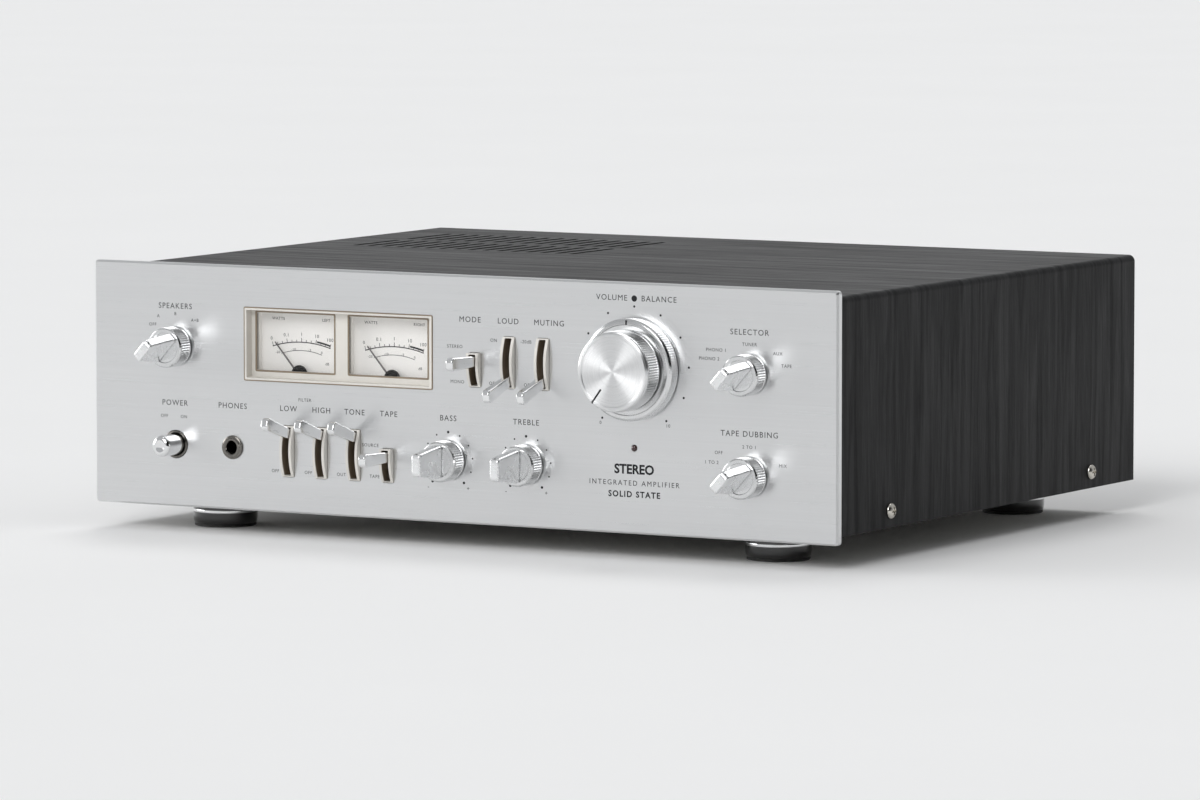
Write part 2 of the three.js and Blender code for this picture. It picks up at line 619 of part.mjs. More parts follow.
// Bars along X where the screws go through both sides of the case and the tray.
function screwHoles() {
  return SCREW.ys.map((y) => {
    const geometry = new THREE.CylinderGeometry(SCREW.hole, SCREW.hole, 2 * CASE_HALF + 10, 10);
    geometry.rotateZ(Math.PI / 2);
    geometry.translate(0, y, SCREW.z);
    return solid(geometry);
  });
}

function chassisTray() {
  const half = CASE_HALF - SHEET - GAP;
  const inner = half - TRAY_SHEET;
  const top = CASE_BOTTOM + TRAY_FLANGE;
  const shape = outline([
    [-half, CASE_BOTTOM], [half, CASE_BOTTOM], [half, top], [inner, top],
    [inner, TRAY_TOP], [-inner, TRAY_TOP], [-inner, top], [-half, top]]);
  const slots = [];
  const count = VENT.across / 2;
  for (let i = 0; i < count; i += 1) {
    const x = VENT.x + (i - (count - 1) / 2) * 2 * VENT.pitch;
    slots.push(box(x - 2, x + 2, VENT.y - 30, VENT.y + 30, CASE_BOTTOM - 2, TRAY_TOP + 2));
  }
  return cut(plate(shape, PANEL_THICK + 0.5, REAR_Y - GAP), [...slots, ...screwHoles()]);
}

function caseScrew(side) {
  const { shank, head, reach, dome } = SCREW;
  const profile = [
    [0, 0], [shank, 0], [shank, reach], [head, reach], [head, reach + 0.8],
    [0.7 * head, reach + 0.9 * dome], [0, reach + dome]];
  return turned(profile, 10).rotate([0, 0, -90 * side]);
}

function foot() {
  const { radius } = FOOT;
  return turnedUpright([
    [0, 0.4], [radius - 6, 0.4], [radius - 5, 0], [radius - 1, 0], [radius, 1],
    [radius, FOOT_HEIGHT - 1.4], [radius - 1.4, FOOT_HEIGHT], [radius - 3, CASE_BOTTOM - GAP],
    [0, CASE_BOTTOM - GAP]]);
}

add(body, 'case_cover', caseCover(), blackVinyl);
add(body, 'chassis_tray', chassisTray(), steel);
const ends = { front: 0, rear: 1 };
const sides = { left: -1, right: 1 };
for (const [end, index] of Object.entries(ends)) {
  for (const [side, sign] of Object.entries(sides)) {
    add(body, `foot_${end}_${side}`, foot(), blackPlastic)
      .position.set(sign * FOOT.x, FOOT.ys[index], 0);
    add(body, `case_screw_${end}_${side}`, caseScrew(sign), chrome)
      .position.set(sign * (CASE_HALF + GAP - SCREW.reach), SCREW.ys[index], SCREW.z);
  }
}

// ---------------------------------------------------------------- rear panel and terminals

const JACKS = { x: 122, z: 104, pitch: 16, columns: 8, rise: 18, radius: 4.2, reach: 9.5 };
const SPEAKERS = { x: -28, z: 74, width: 104, height: 27 };
const OUTLET = { x: -120, z: 60, width: 62, height: 26 };
const FUSE = { x: -178, z: 104 };
const GLAND = { x: -188, z: 46, bore: 3.6 };
const EARTH = { x: 200, z: 70 };

function jackPlaces() {
  const places = [];
  for (let column = 0; column < JACKS.columns; column += 1) {
    const x = JACKS.x + (column - (JACKS.columns - 1) / 2) * JACKS.pitch;
    places.push({ x, z: JACKS.z + JACKS.rise / 2 }, { x, z: JACKS.z - JACKS.rise / 2 });
  }
  return places;
}

// Phono sockets in two rows on one board behind the rear panel.
function inputJacks() {
  const width = JACKS.columns * JACKS.pitch + 8;
  const board = box(JACKS.x - width / 2, JACKS.x + width / 2, REAR_Y - 4, REAR_Y - 2,
    JACKS.z - 18, JACKS.z + 18);
  const sockets = jackPlaces().map(({ x, z }) =>
    bar(x, z, JACKS.radius, REAR_Y - 3, REAR_FACE + JACKS.reach, 10));
  const bores = jackPlaces().map(({ x, z }) =>
    bar(x, z, 1.7, REAR_FACE + 1, REAR_FACE + JACKS.reach + 1, 6));
  return cut(join([board, ...sockets]), bores);
}

// A screw terminal strip with ribs between the screws.
function speakerTerminals() {
  const { x, z, width, height } = SPEAKERS;
  const count = 8;
  const pitch = (width - 12) / count;
  const pieces = [box(x - width / 2, x + width / 2, REAR_FACE + GAP, REAR_FACE + 3,
    z - height / 2, z + height / 2)];
  for (let i = 0; i <= count; i += 1) {
    const rib = x + (i - count / 2) * pitch;
    pieces.push(box(rib - 0.8, rib + 0.8, REAR_FACE + 2, REAR_FACE + 6.6, z - 10, z + 10));
    if (i < count) pieces.push(bar(rib + pitch / 2, z, 3.6, REAR_FACE + 2, REAR_FACE + 6, 8));
  }
  return join(pieces);
}

function acOutlet() {
  const { x, z, width, height } = OUTLET;
  const cover = plate(roundedRectangle(x, z, width, height, 2), REAR_FACE + GAP, REAR_FACE + 4);
  const well = box(x - width / 2 + 4, x + width / 2 - 4, REAR_Y - 14, REAR_FACE + 2,
    z - height / 2 + 4, z + height / 2 - 4);
  const blades = [];
  for (const socket of [-15, 15]) {
    for (const side of [-6.3, 6.3]) {
      const middle = x + socket + side;
      blades.push(box(middle - 1.1, middle + 1.1, REAR_Y - 10, REAR_FACE + 6, z - 4, z + 4));
    }
  }
  return cut(join([cover, well]), blades);
}

const fuseHolder = turned([
  [0, REAR_Y - 30], [5.5, REAR_Y - 30], [5.5, REAR_FACE + GAP], [8.5, REAR_FACE + GAP],
  [8.5, REAR_FACE + 2.5], [7, REAR_FACE + 2.5], [6.6, REAR_FACE + 9], [5.8, REAR_FACE + 10],
  [0, REAR_FACE + 10]], 14);
const cordGland = turned([
  [GLAND.bore, REAR_Y - 8], [6, REAR_Y - 8], [6, REAR_FACE + GAP], [9, REAR_FACE + GAP],
  [9, REAR_FACE + 3], [6.6, REAR_FACE + 8.5], [GLAND.bore, REAR_FACE + 8.5],
  [GLAND.bore, REAR_Y - 8]], 16);
const groundPost = turned([
  [0, REAR_Y - 5], [1.9, REAR_Y - 5], [1.9, REAR_FACE + GAP], [6, REAR_FACE + GAP],
  [6, REAR_FACE + 1.5], [4.6, REAR_FACE + 1.5], [4.6, REAR_FACE + 7.5], [3.8, REAR_FACE + 8.5],
  [1.9, REAR_FACE + 8.5], [1.9, REAR_FACE + 10.2], [0, REAR_FACE + 10.2]], 12);

function rearPanel() {
  const half = CASE_HALF - SHEET - GAP;
  const [low, high] = [TRAY_TOP + GAP, CASE_TOP - SHEET - GAP];
  const sheet = roundedRectangle(0, (low + high) / 2, 2 * half, high - low, 2);
  const through = (at, radius, count = 14) =>
    bar(at.x, at.z, radius, REAR_Y - 1, REAR_FACE + 1, count);
  const outlet = box(OUTLET.x - OUTLET.width / 2 + 3.5, OUTLET.x + OUTLET.width / 2 - 3.5,
    REAR_Y - 1, REAR_FACE + 1, OUTLET.z - OUTLET.height / 2 + 3.5, OUTLET.z + OUTLET.height / 2 - 3.5);
  return cut(plate(sheet, REAR_Y, REAR_FACE), [
    outlet,
    ...jackPlaces().map((at) => through(at, JACKS.radius + 0.8, 8)),
    through(FUSE, 5.9),
    through(GLAND, 6.4),
    through(EARTH, 2.3),
  ]);
}

add(body, 'rear_panel', rearPanel(), steel);
add(body, 'input_jacks', inputJacks(), steel);
add(body, 'speaker_terminals', speakerTerminals(), blackPlastic);
add(body, 'ac_outlet', acOutlet(), blackPlastic);
add(body, 'fuse_holder', fuseHolder, blackPlastic).position.set(FUSE.x, 0, FUSE.z);
add(body, 'cord_gland', cordGland, blackPlastic).position.set(GLAND.x, 0, GLAND.z);
add(body, 'ground_post', groundPost, brass).position.set(EARTH.x, 0, EARTH.z);

// ---------------------------------------------------------------- inside

const TRANSFORMER = { x: -135, y: 118 };
const CAPACITORS = { x: -30, ys: [92, 142], radius: 20, height: 78 };
const HEATSINK = { x: -115, y: 215, fins: 11, pitch: 13, width: 142, depth: 80, base: 6 };
const BOARD_LIFT = 8;
const BOARD_THICK = 1.6;

function transformer() {
  const { x, y } = TRANSFORMER;
  const floor = TRAY_TOP + GAP;
  return join([
    box(x - 47, x + 47, y - 25, y + 25, floor, floor + 2),
    box(x - 40, x + 40, y - 30, y + 30, floor, floor + 70),
    box(x - 23, x + 23, y - 43, y + 43, floor + 14, floor + 56),
  ]);
}

function heatsink() {
  const { x, y, fins, pitch, width, depth, base } = HEATSINK;
  const low = TRAY_TOP + GAP;
  const high = low + 92;
  const pieces = [box(x - width / 2, x + width / 2, y, y + base, low, high)];
  for (let i = 0; i < fins; i += 1) {
    const fin = x + (i - (fins - 1) / 2) * pitch;
    pieces.push(box(fin - 1.2, fin + 1.2, y + base - 1, y + depth, low, high));
  }
  return join(pieces);
}

// A circuit board on four posts, with its larger components standing on it.
function board(x0, x1, y0, y1, columns, rows) {
  const low = TRAY_TOP + GAP;
  const under = low + BOARD_LIFT;
  const above = under + BOARD_THICK;
  const pieces = [box(x0, x1, y0, y1, under, above)];
  for (const x of [x0 + 6, x1 - 6]) {
    for (const y of [y0 + 6, y1 - 6]) pieces.push(box(x - 3, x + 3, y - 3, y + 3, low, under + 0.5));
  }
  for (let i = 0; i < columns; i += 1) {
    for (let j = 0; j < rows; j += 1) {
      const x = x0 + ((i + 1) * (x1 - x0)) / (columns + 1);
      const y = y0 + ((j + 1) * (y1 - y0)) / (rows + 1);
      const size = 4 + ((i + 2 * j) % 3) * 1.5;
      const tall = 9 + ((2 * i + j) % 4) * 4;
      pieces.push(box(x - size, x + size, y - size, y + size, above - 0.5, above + tall));
    }
  }
  return join(pieces);
}

add(body, 'transformer', transformer(), coreIron);
for (const [side, index] of Object.entries({ left: 0, right: 1 })) {
  const { x, ys, radius, height } = CAPACITORS;
  const can = turnedUpright([
    [0, 0], [radius - 1, 0], [radius, 1], [radius, height - 1.5], [radius - 1.5, height],
    [radius - 3, height], [radius - 3.5, height - 1], [0, height - 1]], 16);
  add(body, `filter_capacitor_${side}`, can, capacitorSleeve)
    .position.set(x, ys[index], TRAY_TOP + GAP);
}
add(body, 'heatsink', heatsink(), blackAluminium);
add(body, 'power_board', board(-30, 58, 190, 305, 3, 3), brownBoard);
add(body, 'preamp_board', board(78, 204, 66, 305, 3, 5), brownBoard);

export default amplifier;
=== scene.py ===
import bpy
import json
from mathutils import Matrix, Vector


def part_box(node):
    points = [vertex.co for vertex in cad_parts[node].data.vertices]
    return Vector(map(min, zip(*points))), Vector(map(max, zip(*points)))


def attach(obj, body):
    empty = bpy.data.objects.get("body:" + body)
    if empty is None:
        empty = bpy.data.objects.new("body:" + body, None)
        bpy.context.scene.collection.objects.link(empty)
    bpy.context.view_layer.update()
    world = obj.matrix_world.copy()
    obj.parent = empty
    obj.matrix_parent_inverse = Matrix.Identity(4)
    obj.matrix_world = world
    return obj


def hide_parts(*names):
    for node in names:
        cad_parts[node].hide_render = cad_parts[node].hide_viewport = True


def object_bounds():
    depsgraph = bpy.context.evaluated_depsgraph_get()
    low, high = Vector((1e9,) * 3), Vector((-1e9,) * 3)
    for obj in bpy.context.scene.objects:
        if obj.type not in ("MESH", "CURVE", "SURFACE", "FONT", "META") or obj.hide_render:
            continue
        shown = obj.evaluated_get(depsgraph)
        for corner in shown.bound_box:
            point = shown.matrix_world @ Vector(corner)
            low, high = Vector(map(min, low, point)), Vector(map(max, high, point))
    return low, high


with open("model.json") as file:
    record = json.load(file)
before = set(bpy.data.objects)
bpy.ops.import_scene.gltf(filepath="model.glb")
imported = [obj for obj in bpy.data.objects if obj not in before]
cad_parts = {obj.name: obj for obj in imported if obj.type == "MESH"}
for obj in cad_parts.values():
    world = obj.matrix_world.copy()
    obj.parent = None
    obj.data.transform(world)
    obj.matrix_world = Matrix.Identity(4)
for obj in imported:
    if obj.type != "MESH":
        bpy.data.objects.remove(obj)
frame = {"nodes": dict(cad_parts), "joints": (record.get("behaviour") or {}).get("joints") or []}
cad_box = [list(corner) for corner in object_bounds()]

import json
import math

import bmesh
import bpy
from mathutils import Matrix, Vector

MM = 0.001
TURN = 2 * math.pi


def put(thing, **settings):
    """Sets a Blender thing's attributes."""
    for key, value in settings.items():
        setattr(thing, key, value)
    return thing


def new_object(name, data):
    made = bpy.data.objects.new(name, data)
    bpy.context.scene.collection.objects.link(made)
    return made


# --- places from the frame


def middle(node):
    low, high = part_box(node)
    return (low + high) / 2


PANEL_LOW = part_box("front_panel")[0]
PANEL_MIDDLE = middle("front_panel")
FACE = Vector((0, PANEL_LOW.y, PANEL_MIDDLE.z))   # the middle of the panel's face
PIVOTS = {joint["child"]: Vector(joint["pos_m"]) for joint in frame["joints"]
          if "pos_m" in joint}    # each moving body's pivot, in metres


def on_face(pivot):
    """Where a knob's axis meets the panel's face."""
    return Vector((pivot.x, PANEL_LOW.y, pivot.z))


# --- materials


class Nodes:
    """The node tree of a material or a world, with a short way to add to it."""

    def __init__(self, owner):
        owner.use_nodes = True
        self.tree = owner.node_tree

    def node(self, kind, inputs=(), **settings):
        made = put(self.tree.nodes.new(kind), **settings)
        self.feed(made, dict(inputs))
        return made

    def feed(self, node, inputs):
        """Gives each input a plain value or another node's output."""
        for socket, value in inputs.items():
            if isinstance(value, bpy.types.NodeSocket):
                self.tree.links.new(value, node.inputs[socket])
            else:
                node.inputs[socket].default_value = value

    def spread(self, fac, low, high, start=0.3, end=0.7, **settings):
        """Maps a pattern between start and end to numbers from low to high."""
        inputs = enumerate((fac, start, end, low, high))
        return self.node("ShaderNodeMapRange", inputs, **settings).outputs["Result"]


class Look(Nodes):
    """A procedural material."""

    def __init__(self, name, color, roughness, metallic=0.0, **sockets):
        self.material = bpy.data.materials.new(name)
        super().__init__(self.material)
        self.surface(Base_Color=(*color, 1), Roughness=roughness, Metallic=metallic, **sockets)

    def surface(self, **sockets):
        """Feeds the shader. An underscore stands for a space."""
        self.feed(self.tree.nodes["Principled BSDF"],
                  {name.replace("_", " "): value for name, value in sockets.items()})
        return self

    def place(self, stretch):
        """The piece's own coordinates in millimetres, divided by stretch."""
        where = self.node("ShaderNodeTexCoord").outputs["Object"]
        scale = [1 / (MM * part) for part in stretch]
        return self.node("ShaderNodeMapping", {"Vector": where, "Scale": scale}).outputs[0]

    def unrolled(self, stretch):
        """The same for a sheet bent down over both sides: X and Z are added together."""
        apart = self.node("ShaderNodeSeparateXYZ", {0: self.place(stretch)}).outputs
        across = self.node("ShaderNodeMath", {0: apart["X"], 1: apart["Z"]}, operation="ADD")
        flat = self.node("ShaderNodeCombineXYZ", {"X": across.outputs[0], "Y": apart["Y"]})
        return flat.outputs[0]

    def noise(self, stretch, detail=3, warp=0.0, rough=0.55, unroll=False):
        """Noise whose grains measure about stretch millimetres."""
        where = self.unrolled(stretch) if unroll else self.place(stretch)
        made = self.node("ShaderNodeTexNoise", {
            "Vector": where, "Scale": 1, "Detail": detail, "Roughness": rough,
            "Distortion": warp})
        return made.outputs["Fac"]

    def rings(self, pitch, detail=2):
        """Noise that changes only with the distance from the piece's own Y axis."""
        apart = self.node("ShaderNodeSeparateXYZ", {0: self.place((pitch,) * 3)}).outputs
        flat = self.node("ShaderNodeCombineXYZ", {"X": apart["X"], "Z": apart["Z"]})
        length = self.node("ShaderNodeVectorMath", {0: flat.outputs[0]}, operation="LENGTH")
        made = self.node("ShaderNodeTexNoise", {
            "W": length.outputs["Value"], "Scale": 1, "Detail": detail}, noise_dimensions="1D")
        return made.outputs["Fac"]

    def tint(self, fac, *stops):
        """Colours the surface along a ramp between two (position, colour) stops."""
        ramp = self.node("ShaderNodeValToRGB", {"Fac": fac})
        for element, (position, color) in zip(ramp.color_ramp.elements, stops):
            put(element, position=position, color=(*color, 1))
        return self.surface(Base_Color=ramp.outputs["Color"])

    def rough(self, fac, *span):
        return self.surface(Roughness=self.spread(fac, *span))

    def bump(self, fac, height, strength=1.0):
        """Raises the pattern by height millimetres."""
        made = self.node("ShaderNodeBump", {
            "Height": fac, "Distance": height * MM, "Strength": strength})
        return self.surface(Normal=made.outputs["Normal"])

    def grain_about(self, axis):
        """Turns the anisotropic highlight round the piece's own axis."""
        tangent = self.node("ShaderNodeTangent", direction_type="RADIAL", axis=axis)
        return self.surface(Tangent=tangent.outputs["Tangent"])


def shade(color, factor):
    return tuple(part * factor for part in color)


def brushed_look(name, color, low, high):
    """Aluminium brushed along X, with finer and broader streaks."""
    look = Look(name, color, low, 1.0, Anisotropic=0.5, Anisotropic_Rotation=0.25)
    fine = look.noise((60, 0.3, 0.3), detail=4)
    broad = look.noise((140, 1.6, 1.2), detail=3)
    look.tint(broad, (0.25, shade(color, 0.98)), (0.75, shade(color, 1.015)))
    look.rough(fine, low, high)
    look.bump(fine, 0.0015)
    return look.grain_about("Z")


def spun_look(name, color, low, high, anisotropic):
    """Aluminium turned on a lathe, with its grain round the knob's axis."""
    look = Look(name, color, low, 1.0, Anisotropic=anisotropic, Anisotropic_Rotation=0.25)
    rings = look.rings(0.22, detail=4)
    look.tint(look.rings(1.4), (0.3, shade(color, 0.93)), (0.7, color))
    look.rough(rings, low, high)
    look.bump(rings, 0.003)
    return look.grain_about("Y")


def plated_look(name, color, roughness):
    """Bright plating with faint handling haze."""
    look = Look(name, color, roughness, 1.0)
    haze = look.noise((7, 7, 7), detail=2)
    look.tint(haze, (0.3, shade(color, 0.96)), (0.7, color))
    return look.rough(haze, roughness * 0.8, roughness * 1.3)


def plastic_look(name, color, roughness, grain=0.35, height=0.02, cloudy=0.12, **sockets):
    """Moulded plastic with a fine stipple and slightly uneven gloss."""
    look = Look(name, color, roughness, **sockets)
    stipple = look.noise((grain,) * 3, detail=2)
    cloud = look.noise((14, 14, 14), detail=3)
    look.tint(cloud, (0.3, shade(color, 1 - cloudy)), (0.7, shade(color, 1 + cloudy)))
    look.rough(cloud, roughness * 0.85, roughness * 1.15)
    return look.bump(stipple, height)


def vinyl_look():
    """Black vinyl embossed with wood grain that runs across the case."""
    dark = (0.012, 0.012, 0.013)
    look = Look("case vinyl", dark, 0.42, Specular_IOR_Level=0.14)
    pores = look.noise((16, 0.6, 16), detail=3, warp=0.3, rough=0.7, unroll=True)
    bands = look.noise((120, 7, 120), detail=4, warp=0.8, unroll=True)
    mixed = look.node("ShaderNodeMath", {0: pores, 1: 0.55, 2: bands}, operation="MULTIPLY_ADD")
    pattern = mixed.outputs[0]
    look.tint(pattern, (0.45, (0.003, 0.003, 0.0034)), (1.0, (0.014, 0.014, 0.015)))
    look.rough(pattern, 0.6, 0.36, 0.5, 1.0)
    return look.bump(pattern, 0.14, 0.9)


def zinc_look():
    """Zinc-plated steel with a soft spangle."""
    color = (0.56, 0.555, 0.53)
    look = Look("zinc plate", color, 0.36, 1.0)
    cells = look.node("ShaderNodeTexVoronoi", {"Vector": look.place((6, 6, 6)), "Scale": 1})
    look.tint(cells.outputs["Color"], (0.1, shade(color, 0.86)), (0.9, shade(color, 1.08)))
    look.rough(look.noise((3, 3, 3)), 0.28, 0.46)
    return look.bump(look.noise((0.8, 0.8, 0.8)), 0.004)


def board_look():
    """Brown phenolic board with the paler tracks showing through."""
    look = Look("circuit board", (0.26, 0.15, 0.06), 0.5)
    tracks = look.node("ShaderNodeTexVoronoi", {"Vector": look.place((7, 7, 60)), "Scale": 1},
                       feature="DISTANCE_TO_EDGE")
    look.tint(tracks.outputs["Distance"],
              (0.06, (0.36, 0.24, 0.1)), (0.1, (0.2, 0.11, 0.045)))
    return look.rough(look.noise((5, 5, 5)), 0.35, 0.6)


def printed_look(name, color):
    """Screen-printed ink, slightly thin in places."""
    look = Look(name, color, 0.5, Specular_IOR_Level=0.15)
    look.tint(look.noise((0.5, 0.5, 0.5)), (0.3, color), (0.75, shade(color, 1.5)))
    return look


def rubber_look():
    """Black rubber, dusty in places."""
    look = Look("foot rubber", (0.02, 0.02, 0.02), 0.75)
    look.tint(look.noise((3, 3, 3)), (0.3, (0.013, 0.013, 0.013)), (0.7, (0.035, 0.034, 0.033)))
    return look.bump(look.noise((0.5, 0.5, 0.5)), 0.03)


SILVER = (0.86, 0.865, 0.87)
POLISHED = (0.92, 0.925, 0.93)
LOOKS = {
    "panel": brushed_look("brushed aluminium", (0.77, 0.775, 0.78), 0.27, 0.33),
    "spun": spun_look("spun aluminium", SILVER, 0.27, 0.37, 0.9),
    "bright": spun_look("bright aluminium", (0.78, 0.785, 0.79), 0.16, 0.25, 0.5),
    "satin": plated_look("satin aluminium", POLISHED, 0.26),
    "polished": plated_look("polished levers", POLISHED, 0.12),
    "chrome": plated_look("polished chrome", SILVER, 0.07),
    "nickel": plated_look("nickel", (0.72, 0.69, 0.63), 0.2),
    "gunmetal": plated_look("dark nickel", (0.2, 0.19, 0.175), 0.22),
    "champagne": plastic_look("champagne trim", (0.73, 0.705, 0.66), 0.4, height=0.004,
                              cloudy=0.03, metallic=0.3),
    # The dial card's faint warm emission is painted light: the card glows though nothing lights it
    # from inside.
    "dial": plastic_look("dial card with painted glow", (0.9, 0.885, 0.86), 0.6, height=0.002, cloudy=0.015,
                         Emission_Color=(1, 0.965, 0.91, 1), Emission_Strength=0.1),
    # A darker bronze used only as painted shade: on the slit walls and round the meter windows and
    # opening.
    "bronze": plastic_look("bronze painted shade", (0.27, 0.215, 0.155), 0.4, height=0.004,
                           cloudy=0.05, metallic=0.3),
    "needle": plastic_look("needle paint", (0.16, 0.15, 0.15), 0.4),
    "matte": plastic_look("matte black", (0.008, 0.008, 0.008), 0.6, height=0.004,
                          Specular_IOR_Level=0.1),
    "black": plastic_look("black plastic", (0.018, 0.018, 0.019), 0.42),
    "gloss": plastic_look("gloss black", (0.01, 0.01, 0.01), 0.16, height=0.001,
                          Coat_Weight=1.0),
    "white": plastic_look("white plastic", (0.75, 0.74, 0.7), 0.4, cloudy=0.05),
    "red": plastic_look("red plastic", (0.5, 0.025, 0.02), 0.35),
    "lamp": plastic_look("lamp lens", (0.035, 0.006, 0.006), 0.12, height=0.001,
                         Coat_Weight=1.0),
    "rear": plastic_look("rear paint", (0.055, 0.055, 0.058), 0.5, grain=0.7, height=0.05),
    "sleeve": plastic_look("capacitor sleeve", (0.02, 0.05, 0.16), 0.3),
    "core": plastic_look("varnished core", (0.06, 0.045, 0.035), 0.45, height=0.1,
                         metallic=0.4),
    "anodised": brushed_look("black anodised", (0.03, 0.03, 0.032), 0.4, 0.55),
    "ink": printed_look("printed ink", (0.016, 0.016, 0.018)),
    "white ink": printed_look("white ink", (0.62, 0.62, 0.6)),
    "vinyl": vinyl_look(),
    "zinc": zinc_look(),
    "board": board_look(),
    "rubber": rubber_look(),
    "brass": plated_look("brass", (0.75, 0.52, 0.2), 0.22),
}
glass = Look("clear window", (0.2, 0.2, 0.2), 0.03, Alpha=0.06, Specular_IOR_Level=1.0)
LOOKS["window"] = glass.rough(glass.noise((20, 20, 20)), 0.02, 0.05)

# --- shapes


def soften(points, radius, steps=4):
    """The same closed outline with its corners rounded off."""
    out = []
    for i, point in enumerate(points):
        here = Vector(point)
        before = Vector(points[i - 1]) - here
        after = Vector(points[(i + 1) % len(points)]) - here
        reach = min(radius, before.length / 2, after.length / 2)
        start, end = here + before.normalized() * reach, here + after.normalized() * reach
        for step in range(steps + 1):
            t = step / steps
            out.append(tuple(start * (1 - t) ** 2 + here * 2 * t * (1 - t) + end * t * t))
    return out


def rectangle(x, z, width, height, radius=0.0):
    half, rise = width / 2, height / 2
    corners = [(x - half, z - rise), (x + half, z - rise), (x + half, z + rise),
               (x - half, z + rise)]
    return soften(corners, radius) if radius else corners


def circle(x, z, radius, count=48):
    return [(x + radius * math.cos(TURN * i / count), z + radius * math.sin(TURN * i / count))
            for i in range(count)]


def arc(x, z, radius, start, end, count=24):
    """Points on a circle, with angles in degrees anticlockwise from the first axis."""
    angles = [math.radians(start + (end - start) * i / count) for i in range(count + 1)]
    return [(x + radius * math.cos(a), z + radius * math.sin(a)) for a in angles]


def clockwise(x, z, radius, angle):
    """The point at an angle in degrees clockwise from upright."""
    a = math.radians(angle)
    return x + radius * math.sin(a), z + radius * math.cos(a)


INK = 0.015                      # half the thickness of printed marks
FRONT = Matrix.Rotation(math.pi / 2, 4, "X")      # outlines in X and Z, thickness along Y
SIDE = Matrix(((0, 0, 1, 0), (1, 0, 0, 0), (0, 1, 0, 0), (0, 0, 0, 1)))  # in Y and Z
TOP = Matrix.Identity(4)                          # in X and Y
AXES = {id(FRONT): (0, 2, 1), id(SIDE): (1, 2, 0), id(TOP): (0, 1, 2)}
ABOUT_Y = Matrix.Rotation(-math.pi / 2, 4, "X")   # turned profiles: distance along +Y
ABOUT_X = SIDE
ABOUT_Z = TOP


